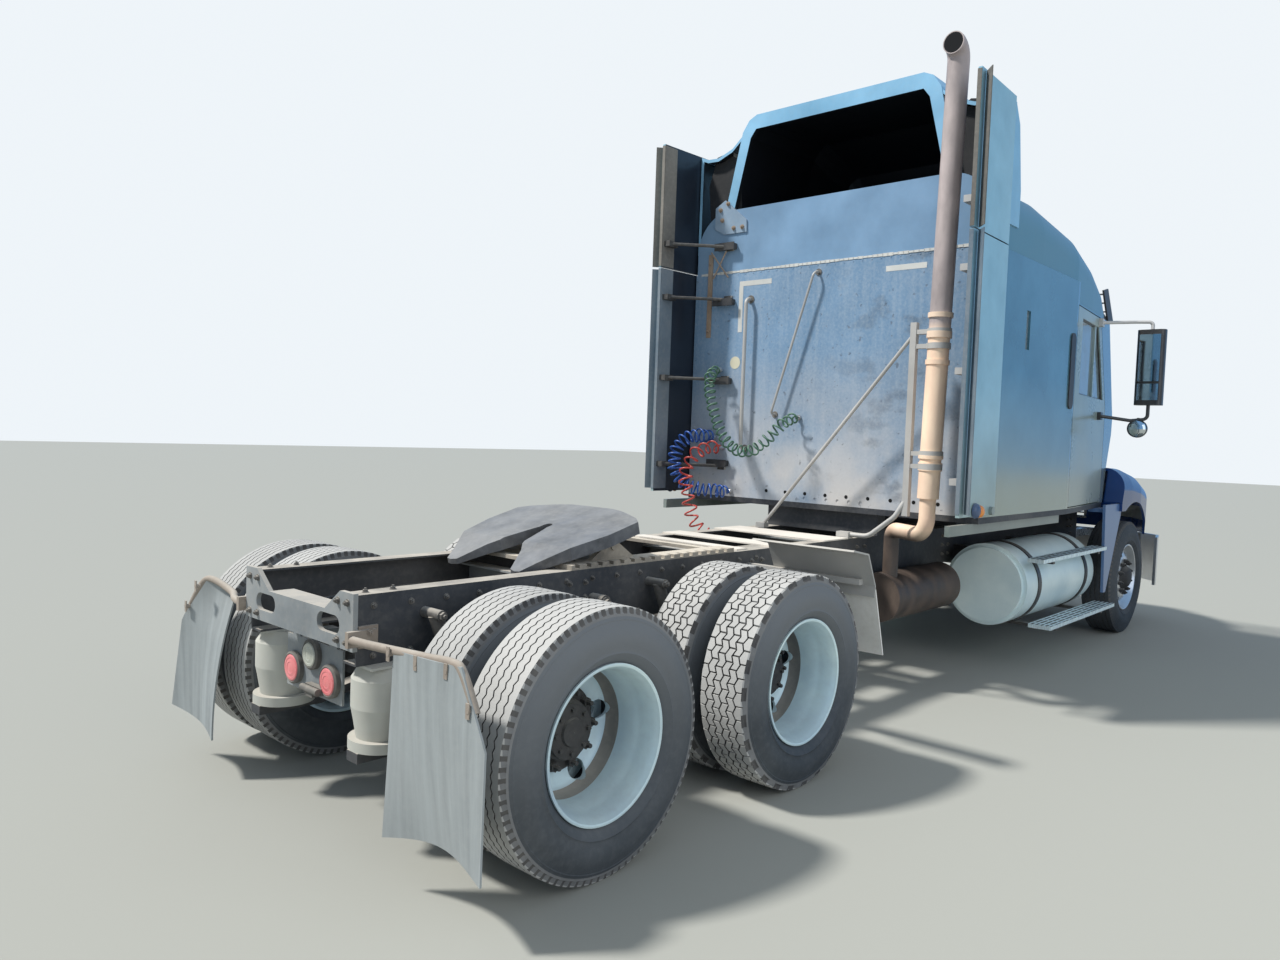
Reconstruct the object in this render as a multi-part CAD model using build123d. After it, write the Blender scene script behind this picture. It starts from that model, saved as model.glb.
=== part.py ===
from build123d import *
import math
import os

# A conventional road tractor with a raised-roof sleeper, twin drive axles and one steered axle.
# Millimetres. X runs forward from the rearmost axle, Y to the left, Z up from the ground.

# Stations along the truck
TANDEM_SPREAD = 1320
WHEELBASE = 6108
REAR_AXLE_X = 0
FRONT_DRIVE_X = REAR_AXLE_X + TANDEM_SPREAD
STEER_AXLE_X = REAR_AXLE_X + TANDEM_SPREAD / 2 + WHEELBASE
DRIVE_AXLES_X = (REAR_AXLE_X, FRONT_DRIVE_X)
TAIL_X = -630
NOSE_X = 8050
ORIGIN_X = (TAIL_X + NOSE_X) / 2

# Wheels
TYRE_R = 505
TYRE_HALF_W = 144
TREAD_HALF_W = 114
BEAD_HALF_W = 105
BULGE_R = 405
BEAD_R = 300
RIM_R = 286
LIP_R = 298
LIP_W = 13
WHEEL_SIDES = 36
DUAL_MID_Y = 915
DUAL_PITCH = 344
STEER_TYRE_Y = 1035
AXLE_Z = TYRE_R
GUARD_OUT_Y = DUAL_MID_Y + DUAL_PITCH / 2 + TREAD_HALF_W + 14

# Ladder frame
FRAME_HALF_W = 432
RAIL_H = 270
RAIL_TOP_Z = 1000
RAIL_WEB_T = 9
RAIL_FLANGE = 90
RAIL_REAR_X = -570
RAIL_FRONT_X = 7650
RAIL_LOW_Z = RAIL_TOP_Z - RAIL_H
RAIL_IN_Y = FRAME_HALF_W - RAIL_WEB_T
FLANGE_IN_Y = FRAME_HALF_W - RAIL_FLANGE
CROSSMEMBER_XS = (560, 1980, 3180, 4500, 7410)
CROSSMEMBER_W = 80
CROSSMEMBER_LOW_Z = 800
CROSSMEMBER_TOP_Z = 940
PLATE_T = 10

# Rear end plate, lamps and mud flaps
END_PLATE_T = 20
END_PLATE_LOW_Z = 790
END_PLATE_DIP_Z = 925
END_PLATE_DIP_Y = 230
END_HOLE_Y = 258
END_HOLE_Z = 872
END_HOLE_W = 170
END_HOLE_H = 74
LAMP_PANEL_X = -505
LAMP_PANEL_HALF_W = 225
LAMP_PANEL_LOW_Z = 522
LAMP_PANEL_TOP_Z = 742
LAMP_STRAP_Y = 150
LAMP_STRAP_W = 60
TAIL_LAMP_R = 55
TAIL_LAMP_Y = 148
TAIL_LAMP_Z = 608
MIDDLE_LAMP_R = 50
MIDDLE_LAMP_Z = 690
LAMP_T = 22
FLAP_T = 8
FLAP_IN_Y = 700
FLAP_OUT_Y = 1285
FLAP_LOW_Z = 190
FLAP_TOP_Z = 880
HANGER_R = 16

# Fifth wheel
FW_PIVOT_X = 860
FW_PIVOT_Z = 1085
FW_PIN_R = 20
FW_PIN_CLEAR = 0.05
FW_TILT = 15
FW_HALF_W = 455
FW_REAR = -530
FW_FRONT = 240
FW_BEND_X = -310
FW_BEND_DROP = 57
FW_TOP = 100
FW_T = 60
FW_SHEET_T = 30
FW_THROAT_X = -85
KINGPIN_R = 25.4
FW_MOUTH_HALF_W = 205
FW_EAR_Y0 = FLANGE_IN_Y - 42
FW_EAR_Y1 = FLANGE_IN_Y - 7
SLIDE_X0 = 520
SLIDE_X1 = 1760
SLIDE_H = 24
CARRIAGE_T = 18
FW_BRACKET_TOP = 24
FW_EAR_LOW = 25

# Suspension
BAG_X = -430
BAG_Y = 400
BAG_R = 122
BAG_TOP_Z = 720
BAG_LOW_Z = 440
ARM_Y = 400
ARM_W = 76
ARM_T = 40
HOUSING_HALF = 65
SPINDLE_R = 42
SPINDLE_CLEAR = 0.05
DRIVE_SPINDLE_Y0 = 560
DRIVE_SPINDLE_Y1 = 860

# Steering
KINGPIN_Y = 850
KNUCKLE_PIN_R = 20
STEER_BEAM_Z = 400
STEER_SPRING_Y = 432
TIE_ARM = 190
TIE_ROD_R = 16

# Engine and driveline
ENGINE_X0 = 6330
ENGINE_X1 = 7240
GEARBOX_X0 = 5200

# Cab shell
WALL_T = 40
CAB_BACK_X = 3300
CAB_HALF_W = 1175
TAPER_X = 4950
CAB_FRONT_X = 6290
CAB_FRONT_HALF_W = 1040
FLOOR_LOW_Z = 1150
CAB_LOW_Z = 1190
SEAM_Z = 2900
DOOR_TOP_Z = 2740
COWL_Z = 1930
SCREEN_FOOT_X = 6560
SCREEN_TOP_X = 6190
DOOR_REAR_X = 4990
DOOR_FRONT_X = 6200
DOOR_T = 45
DOOR_GAP = 8
GLASS_T = 6
SEAT_Y = 450
MIRROR_IN_Y = CAB_HALF_W + 130
MIRROR_W = 210

# Roof cap: station, half width, top height, shoulder radius
ROOF_SECTIONS = (
    (CAB_BACK_X, CAB_HALF_W - 10, 3370, 300),
    (CAB_BACK_X + 900, CAB_HALF_W - 10, 3390, 300),
    (5000, CAB_HALF_W - 25, 3305, 270),
    (5550, CAB_HALF_W - 80, 3185, 220),
    (5950, CAB_FRONT_HALF_W + 5, 3030, 150),
    (6185, CAB_FRONT_HALF_W - 40, 2860, 60),
)

# Roof fairing: station, half width at the foot, half width at the top, top height
FAIRING_SECTIONS = (
    (CAB_BACK_X + 5, CAB_HALF_W - 220, CAB_HALF_W - 405, 4050),
    (CAB_BACK_X + 950, CAB_HALF_W - 235, CAB_HALF_W - 435, 4072),
    (CAB_BACK_X + 1320, CAB_HALF_W - 295, CAB_HALF_W - 525, 3880),
    (CAB_BACK_X + 1560, CAB_HALF_W - 375, CAB_HALF_W - 615, 3480),
)
FAIRING_T = 30
FAIRING_RIM_SIDE = 78
FAIRING_RIM_TOP = 104
FAIRING_RIM_T = 36
FAIRING_FOOT_Z = 3200

# Side extenders
EXT_REAR_X = CAB_BACK_X - 400
EXT_FRONT_X = CAB_BACK_X + 180
EXT_OUT_Y = CAB_HALF_W + 47
EXT_T = 24
EXT_LOW_Z = 1210
EXT_SEAM_Z = 2910
EXT_TOP_Z = 3830
STRUT_ZS = (1420, 2080, 2690, 3090)
STRUT_R = 12

# Exhaust
STACK_X = CAB_BACK_X - 200
STACK_LOW_Y = 926
STACK_TOP_Y = 985
STACK_R = 66
STACK_FOOT_Z = 1150
STACK_TIP_Z = 4010
CAN_R = 165
CAN_Y = 560
CAN_Z = 610
CAN_X0 = STACK_X + 100
CAN_X1 = 4150

# Tanks and steps
TANK_R = 305
TANK_X0 = 4420
TANK_X1 = 6020
TANK_Y = 790
TANK_Z = 613
STRAP_XS = (TANK_X0 + 280, TANK_X1 - 240)
STRAP_W = 60
STRAP_T = 8
STEP_IN_Y = TANK_Y + 295
STEP_TOP_Z = TANK_Z + 227
STEP_LOW_Z = TANK_Z - 258

# Skirt and splash panel
SKIRT_LOW_Z = 1085
SPLASH_X0 = 5950
SPLASH_Y = CAB_FRONT_HALF_W + 110
SPLASH_T = 22
SPLASH_TOP_Z = 1186

# Hood
HOOD_REAR_X = 6340
HOOD_T = 22
HOOD_HALF_W = 1195
ARCH_R = 685
HOOD_PIVOT_X = 7950
HOOD_PIVOT_Z = 872
HOOD_LOW_Z = 862
HOOD_NOSE_X = 7985
GRILLE_HALF_W = 430
GRILLE_LOW_Z = 930
GRILLE_TOP_Z = 1270

# Bumper
BUMPER_LOW_Z = 370
BUMPER_TOP_Z = 830
BUMPER_T = 24


def prism(points, direction):
    """Solid with the given flat outline, pushed along a direction."""
    face = Face(Wire.make_polygon(points, close=True))
    return Solid.extrude(face, Vector(*direction))


def along_y(outline, y0, y1):
    """Outline of (x, z) points pushed from y0 to y1."""
    return prism([(x, y0, z) for x, z in outline], (0, y1 - y0, 0))


def along_x(outline, x0, x1):
    """Outline of (y, z) points pushed from x0 to x1."""
    return prism([(x0, y, z) for y, z in outline], (x1 - x0, 0, 0))


def along_z(outline, z0, z1):
    """Outline of (x, y) points pushed from z0 to z1."""
    return prism([(x, y, z0) for x, y in outline], (0, 0, z1 - z0))


def block(x0, x1, y0, y1, z0, z1):
    """Box from its six sides."""
    centre = Pos((x0 + x1) / 2, (y0 + y1) / 2, (z0 + z1) / 2)
    return centre * Box(x1 - x0, y1 - y0, z1 - z0)


def rod(start, end, radius):
    """Round bar between two points."""
    run = Vector(*end) - Vector(*start)
    plane = Plane(origin=start, z_dir=run)
    return plane * Cylinder(radius, run.length, align=(Align.CENTER, Align.CENTER, Align.MIN))


def bent_tube(points, bends, radius):
    """Round tube along straight runs joined by tangent arcs."""
    path = FilletPolyline(*points, radius=bends)
    return sweep(Plane(origin=path @ 0, z_dir=path % 0) * Circle(radius), path=path)


def mirrored(shapes):
    """The same shapes on the other side of the truck."""
    return [shape.mirror(Plane.XZ) for shape in shapes]


def both_sides(shapes):
    return list(shapes) + mirrored(shapes)


def joined(shapes):
    """One solid from shapes that meet."""
    whole = shapes[0]
    for shape in shapes[1:]:
        whole = whole + shape
    return whole


def save(node, shapes):
    """Writes one node, in the frame whose origin is under the middle of the truck."""
    solids = []
    for shape in shapes:
        solids.extend(shape.solids())
    moved = [Pos(-ORIGIN_X, 0, 0) * solid for solid in solids]
    export_step(Compound(children=moved), f"parts/{node}.step")


def ring(x, y, z, radius, sides):
    """Corners of a polygon about an axle line, a flat side down, its flats as far out as the radius."""
    corner = radius / math.cos(math.pi / sides)
    angles = [(2 * i + 1) * math.pi / sides for i in range(sides)]
    return [(x + corner * math.sin(a), y, z - corner * math.cos(a)) for a in angles]


def band(a, b):
    """Flat facets between two rings of corners."""
    count = len(a)
    facets = []
    for i in range(count):
        j = (i + 1) % count
        facets.append(Face(Wire.make_polygon([a[i], a[j], b[j], b[i]], close=True)))
    return facets


def turned(x, stations, sides=WHEEL_SIDES, z=AXLE_Z, hollow=False):
    """Wheel form of flat facets about the axle line through x, from (y, radius) stations."""
    rings = [ring(x, y, z, radius, sides) for y, radius in stations]
    facets = []
    for a, b in zip(rings, rings[1:]):
        facets += band(a, b)
    if hollow:
        facets += band(rings[-1], rings[0])
    else:
        facets += [Face(Wire.make_polygon(end, close=True)) for end in (rings[0], rings[-1])]
    return Solid(Shell(facets))


def tyre(x, y):
    stations = (
        (y - BEAD_HALF_W, RIM_R),
        (y - BEAD_HALF_W, BEAD_R),
        (y - TYRE_HALF_W, BULGE_R),
        (y - TREAD_HALF_W, TYRE_R),
        (y + TREAD_HALF_W, TYRE_R),
        (y + TYRE_HALF_W, BULGE_R),
        (y + BEAD_HALF_W, BEAD_R),
        (y + BEAD_HALF_W, RIM_R),
    )
    return turned(x, stations, hollow=True)


def spindle_bore(x, y0, y1):
    return rod((x, y0, AXLE_Z), (x, y1, AXLE_Z), SPINDLE_R + SPINDLE_CLEAR)


def hand_holes(x, y, count, radius, hole_r, depth):
    """Round holes through a wheel disc, on a circle about the axle line."""
    holes = []
    for i in range(count):
        a = 2 * math.pi * (i + 0.5) / count
        hx = x + radius * math.sin(a)
        hz = AXLE_Z + radius * math.cos(a)
        holes.append(rod((hx, y - depth, hz), (hx, y + depth, hz), hole_r))
    return holes


def dual_rim(x):
    """Two wheel rims, their disc, the brake drum and the hub of one drive wheel, left side."""
    inner_y = DUAL_MID_Y - DUAL_PITCH / 2 - BEAD_HALF_W
    outer_y = DUAL_MID_Y + DUAL_PITCH / 2 + BEAD_HALF_W
    wheel = turned(
        x,
        (
            (inner_y, RIM_R),
            (outer_y, RIM_R),
            (outer_y, LIP_R),
            (outer_y + LIP_W, LIP_R),
            (outer_y + LIP_W, RIM_R - 3),
            (outer_y - 20, RIM_R - 20),
            (outer_y - 200, RIM_R - 36),
            (DUAL_MID_Y + 22, 215),
            (DUAL_MID_Y + 5, 168),
            (DUAL_MID_Y + 30, 165),
            (DUAL_MID_Y + 35, 112),
            (DUAL_MID_Y + 90, 104),
            (DUAL_MID_Y + 110, 62),
        ),
    )
    wheel = wheel - spindle_bore(x, inner_y - 1, DRIVE_SPINDLE_Y1 + 5)
    for hole in hand_holes(x, DUAL_MID_Y, 5, 205, 31, 40):
        wheel = wheel - hole
    return wheel


def steer_rim(x):
    """Single wheel of the steered axle with its drum and hub, left side."""
    inner_y = STEER_TYRE_Y - BEAD_HALF_W
    outer_y = STEER_TYRE_Y + BEAD_HALF_W
    wheel = turned(
        x,
        (
            (inner_y, RIM_R),
            (outer_y, RIM_R),
            (outer_y, LIP_R),
            (outer_y + LIP_W, LIP_R),
            (outer_y + LIP_W, RIM_R - 3),
            (outer_y - 15, RIM_R - 18),
            (outer_y - 55, RIM_R - 28),
            (outer_y - 12, 172),
            (outer_y - 10, 120),
            (outer_y + 8, 112),
            (outer_y + 50, 70),
        ),
    )
    wheel = wheel - spindle_bore(x, inner_y - 1, STEER_TYRE_Y + 55)
    for hole in hand_holes(x, outer_y - 30, 10, 212, 22, 40):
        wheel = wheel - hole
    return wheel


def frame_rails():
    section = (
        (FRAME_HALF_W, RAIL_LOW_Z),
        (FRAME_HALF_W, RAIL_TOP_Z),
        (FLANGE_IN_Y, RAIL_TOP_Z),
        (FLANGE_IN_Y, RAIL_TOP_Z - RAIL_WEB_T),
        (RAIL_IN_Y, RAIL_TOP_Z - RAIL_WEB_T),
        (RAIL_IN_Y, RAIL_LOW_Z + RAIL_WEB_T),
        (FLANGE_IN_Y, RAIL_LOW_Z + RAIL_WEB_T),
        (FLANGE_IN_Y, RAIL_LOW_Z),
    )
    return both_sides([along_x(section, RAIL_REAR_X, RAIL_FRONT_X)])


def crossmembers():
    members = []
    half = CROSSMEMBER_W / 2
    for x in CROSSMEMBER_XS:
        section = (
            (x - half, CROSSMEMBER_LOW_Z),
            (x + half, CROSSMEMBER_LOW_Z),
            (x + half, CROSSMEMBER_TOP_Z),
            (x - half, CROSSMEMBER_TOP_Z),
            (x - half, CROSSMEMBER_TOP_Z - PLATE_T),
            (x + half - PLATE_T, CROSSMEMBER_TOP_Z - PLATE_T),
            (x + half - PLATE_T, CROSSMEMBER_LOW_Z + PLATE_T),
            (x - half, CROSSMEMBER_LOW_Z + PLATE_T),
        )
        members.append(along_y(section, -RAIL_IN_Y, RAIL_IN_Y))
    return members


def end_plate():
    """Rear crossmember plate: full height at the rails, dipped between them, with two oval holes."""
    half = FRAME_HALF_W + 8
    outline = (
        (-half, END_PLATE_LOW_Z),
        (half, END_PLATE_LOW_Z),
        (half, RAIL_TOP_Z + 8),
        (FLANGE_IN_Y, RAIL_TOP_Z + 8),
        (END_PLATE_DIP_Y, END_PLATE_DIP_Z),
        (-END_PLATE_DIP_Y, END_PLATE_DIP_Z),
        (-FLANGE_IN_Y, RAIL_TOP_Z + 8),
        (-half, RAIL_TOP_Z + 8),
    )
    x0 = RAIL_REAR_X - END_PLATE_T
    plate = along_x(outline, x0, RAIL_REAR_X)
    shelf = block(RAIL_REAR_X, RAIL_REAR_X + 90, -END_PLATE_DIP_Y, END_PLATE_DIP_Y,
                  END_PLATE_DIP_Z - PLATE_T, END_PLATE_DIP_Z)
    whole = plate + shelf
    for y in (-END_HOLE_Y, END_HOLE_Y):
        slot = Plane(origin=(x0 - 1, y, END_HOLE_Z), x_dir=(0, 1, 0), z_dir=(1, 0, 0)) * extrude(
            SlotOverall(END_HOLE_W, END_HOLE_H), END_PLATE_T + 2
        )
        whole = whole - slot
    return whole


def lamp_panel():
    """Plate below the rear end plate that carries the tail lamps, on two straps."""
    x0 = LAMP_PANEL_X
    x1 = LAMP_PANEL_X + PLATE_T
    plate = block(x0, x1, -LAMP_PANEL_HALF_W, LAMP_PANEL_HALF_W, LAMP_PANEL_LOW_Z, LAMP_PANEL_TOP_Z)
    half = LAMP_STRAP_W / 2
    straps = [
        block(x0, x1, y - half, y + half, LAMP_PANEL_TOP_Z, END_PLATE_LOW_Z + 38)
        for y in (-LAMP_STRAP_Y, LAMP_STRAP_Y)
    ]
    spacers = [
        block(RAIL_REAR_X, x0, y - half, y + half, END_PLATE_LOW_Z + 8, END_PLATE_LOW_Z + 38)
        for y in (-LAMP_STRAP_Y, LAMP_STRAP_Y)
    ]
    return joined([plate] + straps + spacers)


def tail_lamps():
    lamps = [
        rod((LAMP_PANEL_X - LAMP_T, y, TAIL_LAMP_Z), (LAMP_PANEL_X, y, TAIL_LAMP_Z), TAIL_LAMP_R)
        for y in (-TAIL_LAMP_Y, TAIL_LAMP_Y)
    ]
    lamps.append(rod((LAMP_PANEL_X - LAMP_T, 0, MIDDLE_LAMP_Z), (LAMP_PANEL_X, 0, MIDDLE_LAMP_Z), MIDDLE_LAMP_R))
    return lamps


def flap_hangers():
    """Bracket on each rail's outer side and the bent tube that carries the mud flap."""
    x = TAIL_X + FLAP_T + HANGER_R
    pad = block(x - HANGER_R, x + 120, FRAME_HALF_W, FRAME_HALF_W + 12, 800, 884)
    pad = pad - block(x - 200, RAIL_REAR_X + 1, 0, FRAME_HALF_W + 8.5, 700, 1100)
    y0 = FRAME_HALF_W + 12
    tube = bent_tube(((x, y0, 842), (x, y0 + 130, 846), (x, 1120, 884), (x, 1205, 740)), (120, 60), HANGER_R)
    return both_sides([pad + tube])


def mud_flaps():
    """Rear flaps with their outer top corner cut off, and the front flaps below the quarter fenders."""
    rear = (
        (FLAP_IN_Y, FLAP_LOW_Z),
        (FLAP_OUT_Y, FLAP_LOW_Z),
        (FLAP_OUT_Y, 636),
        (1136, FLAP_TOP_Z),
        (FLAP_IN_Y, FLAP_TOP_Z),
    )
    x = FRONT_DRIVE_X
    front = ((x + 616, 880), (x + 624, 880), (x + 738, 520), (x + 730, 520))
    return both_sides([along_x(rear, TAIL_X, TAIL_X + FLAP_T), along_y(front, 640, GUARD_OUT_Y)])


def quarter_fenders():
    """Bent guard ahead of each front drive wheel, on a bracket from the rail."""
    x = FRONT_DRIVE_X
    sheet = (
        (x + 370, 1092), (x + 380, 1100), (x + 530, 1072), (x + 616, 900), (x + 616, 840), (x + 608, 840),
        (x + 608, 898), (x + 524, 1064), (x + 380, 1092),
    )
    guard = along_y(sheet, 600, GUARD_OUT_Y)
    arm = block(x + 560, x + 600, FRAME_HALF_W, 640, 900, 930)
    rib = block(x + 560, x + 608, 600, GUARD_OUT_Y - 65, 900, 930)
    return both_sides([guard + arm + rib])


def fifth_wheel_base():
    """Slide rails with teeth on the frame, cross plates, and the two brackets with their pins."""
    y0 = FLANGE_IN_Y - 20
    y1 = FRAME_HALF_W
    rails = []
    z1 = RAIL_TOP_Z + SLIDE_H
    pitch = 75
    count = int((SLIDE_X1 - SLIDE_X0) / pitch)
    for side in (1, -1):
        rail = block(SLIDE_X0, SLIDE_X1, y0, y1, RAIL_TOP_Z, z1)
        for i in range(count):
            x = SLIDE_X0 + pitch * (i + 0.5)
            rail = rail - block(x - 14, x + 14, y1 - 34, y1 + 1, RAIL_TOP_Z + 8, z1 + 1)
        if side < 0:
            rail = rail.mirror(Plane.XZ)
        rails.append(rail)
    ties = [
        block(x0, x1, -y0, y0, RAIL_TOP_Z, RAIL_TOP_Z + CARRIAGE_T)
        for x0, x1 in (
            (SLIDE_X0 + 20, SLIDE_X0 + 80),
            (FW_PIVOT_X - 170, FW_PIVOT_X + 170),
            (SLIDE_X1 - 120, SLIDE_X1 - 60),
        )
    ]
    outline = (
        (FW_PIVOT_X - 150, z1),
        (FW_PIVOT_X + 150, z1),
        (FW_PIVOT_X + 24, FW_PIVOT_Z + FW_BRACKET_TOP),
        (FW_PIVOT_X - 24, FW_PIVOT_Z + FW_BRACKET_TOP),
    )
    brackets = []
    for side in (1, -1):
        bracket = along_y(outline, FW_EAR_Y1 + 2, FW_EAR_Y1 + 30)
        pin = rod((FW_PIVOT_X, FW_EAR_Y0, FW_PIVOT_Z), (FW_PIVOT_X, FW_EAR_Y1 + 40, FW_PIVOT_Z), FW_PIN_R)
        piece = bracket + pin
        if side < 0:
            piece = piece.mirror(Plane.XZ)
        brackets.append(piece)
    return [joined(rails + ties + brackets)]


def fifth_wheel_plate():
    """Coupling plate with a deep rim: round at the front, two bent ramps, a slot that ends in the throat."""
    half = (
        (FW_FRONT, 150), (FW_FRONT - 18, 230), (FW_FRONT - 45, 300), (FW_FRONT - 90, 400),
        (FW_FRONT - 135, FW_HALF_W), (-100, FW_HALF_W), (FW_BEND_X, FW_HALF_W - 50), (FW_REAR + 80, 315),
        (FW_REAR + 5, 275), (FW_REAR, 245), (FW_REAR + 10, FW_MOUTH_HALF_W), (-380, 130), (-330, 85),
        (FW_THROAT_X - 65, 38), (FW_THROAT_X - 30, KINGPIN_R), (FW_THROAT_X, KINGPIN_R),
    )
    outline = list(half) + [(x, -y) for x, y in reversed(half)]
    z0 = FW_TOP - FW_T
    profile = (
        (FW_FRONT + 1, FW_TOP), (FW_FRONT + 1, z0), (FW_BEND_X, z0), (FW_REAR - 1, FW_TOP - FW_BEND_DROP - 26),
        (FW_REAR - 1, FW_TOP - FW_BEND_DROP), (FW_BEND_X, FW_TOP),
    )
    plate = along_z(outline, 0, FW_TOP + 1) & along_y(profile, -FW_HALF_W - 1, FW_HALF_W + 1)
    plate = plate - rod((FW_THROAT_X, 0, z0 - 1), (FW_THROAT_X, 0, FW_TOP + 1), KINGPIN_R)
    pocket = (
        (FW_FRONT - 28, 75), (FW_FRONT - 28, 140), (FW_FRONT - 75, 290), (FW_FRONT - 118, 380),
        (FW_FRONT - 150, FW_HALF_W - 30), (-100, FW_HALF_W - 30), (FW_BEND_X + 20, FW_HALF_W - 80),
        (FW_BEND_X + 20, 130), (-150, 75),
    )
    ear = along_y(
        ((-80, FW_TOP - FW_SHEET_T + 2), (80, FW_TOP - FW_SHEET_T + 2), (22, -FW_EAR_LOW), (-22, -FW_EAR_LOW)),
        FW_EAR_Y0 - 4,
        FW_EAR_Y1,
    )
    pin_r = FW_PIN_R + FW_PIN_CLEAR
    bore = rod((0, FW_EAR_Y0 - 30, 0), (0, FW_EAR_Y1 + 30, 0), pin_r)
    hollow = along_z(pocket, z0 - 1, FW_TOP - FW_SHEET_T)
    whole = plate - hollow - hollow.mirror(Plane.XZ)
    whole = whole + ear + ear.mirror(Plane.XZ)
    whole = whole - bore - bore.mirror(Plane.XZ)
    return [Pos(FW_PIVOT_X, 0, FW_PIVOT_Z) * Rot(0, -FW_TILT, 0) * whole]


def deck_plates():
    """Flat plates across the rails behind the cab."""
    # x0, x1, half width
    table = ((1830, 1930, 400), (2150, 2330, 440), (2700, 3000, 440))
    return [block(x0, x1, -half, half, RAIL_TOP_Z, RAIL_TOP_Z + 8) for x0, x1, half in table]


def air_springs():
    """Bellows behind each drive axle, each on a dish and below a top plate."""
    profile = ((0, BAG_LOW_Z), (BAG_R - 22, BAG_LOW_Z), (BAG_R - 10, BAG_LOW_Z + 70), (BAG_R, BAG_LOW_Z + 120),
               (BAG_R, BAG_TOP_Z - 50), (BAG_R - 30, BAG_TOP_Z), (0, BAG_TOP_Z))
    springs = []
    for axle in DRIVE_AXLES_X:
        face = Face(Wire.make_polygon([(r, 0, z) for r, z in profile], close=True))
        bag = Pos(axle + BAG_X, BAG_Y, 0) * revolve(face, Axis.Z)
        foot = Pos(axle + BAG_X, BAG_Y, BAG_LOW_Z - 20) * Cylinder(BAG_R + 8, 40)
        top = block(axle + BAG_X - 110, axle + BAG_X + 110, FLANGE_IN_Y, FRAME_HALF_W + 60,
                    BAG_TOP_Z, RAIL_LOW_Z)
        springs.append(bag + foot + top)
    return both_sides(springs)


def suspension_arms():
    """Trailing beams from a hanger below each rail, under the axle and back to the air spring."""
    arms = []
    for axle in DRIVE_AXLES_X:
        seat_z = AXLE_Z - HOUSING_HALF
        foot_z = BAG_LOW_Z - 40
        line = ((axle + 560, 560), (axle + 300, seat_z - 10), (axle + 70, seat_z), (axle - 70, seat_z),
                (axle - 270, foot_z), (axle - 560, foot_z))
        outline = list(line) + [(x, z - ARM_T) for x, z in reversed(line)]
        arm = along_y(outline, ARM_Y - ARM_W / 2, ARM_Y + ARM_W / 2)
        hanger = along_y(((axle + 500, 540), (axle + 600, 540), (axle + 640, RAIL_LOW_Z),
                          (axle + 440, RAIL_LOW_Z)), ARM_Y - 50, ARM_Y + 50)
        arms.append(arm + hanger)
    return both_sides(arms)


def drive_axles():
    """Axle housings: a round middle with a domed cover, square arms and the spindles."""
    axles = []
    for axle in DRIVE_AXLES_X:
        middle = rod((axle - 120, 0, AXLE_Z), (axle + 180, 0, AXLE_Z), 205)
        cover = rod((axle - 170, 0, AXLE_Z), (axle - 120, 0, AXLE_Z), 150)
        nose = rod((axle + 180, 0, AXLE_Z), (axle + 330, 0, AXLE_Z), 95)
        arm = block(axle - HOUSING_HALF, axle + HOUSING_HALF, -DRIVE_SPINDLE_Y0, DRIVE_SPINDLE_Y0,
                    AXLE_Z - HOUSING_HALF, AXLE_Z + HOUSING_HALF)
        spindle = rod((axle, -DRIVE_SPINDLE_Y1, AXLE_Z), (axle, DRIVE_SPINDLE_Y1, AXLE_Z), SPINDLE_R)
        axles.append(joined([middle, cover, nose, arm, spindle]))
    return axles


def prop_shafts():
    gearbox_end = (GEARBOX_X0 - 5, 0, 800)
    front = rod((FRONT_DRIVE_X + 335, 0, AXLE_Z + 14), gearbox_end, 50)
    rear = rod((REAR_AXLE_X + 332, 0, AXLE_Z), (FRONT_DRIVE_X - 174, 0, AXLE_Z), 45)
    return [front, rear]


def steer_axle():
    """Dropped beam with an eye for the king pin at each end."""
    half_w = 45
    z0 = STEER_BEAM_Z
    outline = (
        (-KINGPIN_Y + 60, 470), (-700, 470), (-560, z0 + 90), (560, z0 + 90), (700, 470), (KINGPIN_Y - 60, 470),
        (KINGPIN_Y - 60, 560), (680, 560), (540, z0 + 150), (-540, z0 + 150), (-680, 560), (-KINGPIN_Y + 60, 560),
    )
    beam = along_x(outline, STEER_AXLE_X - half_w, STEER_AXLE_X + half_w)
    for side in (1, -1):
        y = side * KINGPIN_Y
        beam = beam + Pos(STEER_AXLE_X, y, 515) * Cylinder(62, 90)
    for side in (1, -1):
        y = side * KINGPIN_Y
        beam = beam + Pos(STEER_AXLE_X, y, 515) * Cylinder(KNUCKLE_PIN_R, 230)
    return [beam]


def steer_springs():
    """Leaf springs of the steered axle and their hangers below the rails."""
    x0 = STEER_AXLE_X - 650
    x1 = STEER_AXLE_X + 650
    z = STEER_BEAM_Z + 150
    leaf = along_y(((x0, z + 70), (STEER_AXLE_X, z), (x1, z + 70), (x1, z + 95), (STEER_AXLE_X, z + 45),
                    (x0, z + 95)), STEER_SPRING_Y - 45, STEER_SPRING_Y + 45)
    front = block(x1 - 40, x1 + 40, STEER_SPRING_Y - 50, STEER_SPRING_Y, z + 60, RAIL_LOW_Z)
    rear = block(x0 - 40, x0 + 40, STEER_SPRING_Y - 50, STEER_SPRING_Y, z + 60, RAIL_LOW_Z)
    return both_sides([leaf + front + rear])


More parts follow.
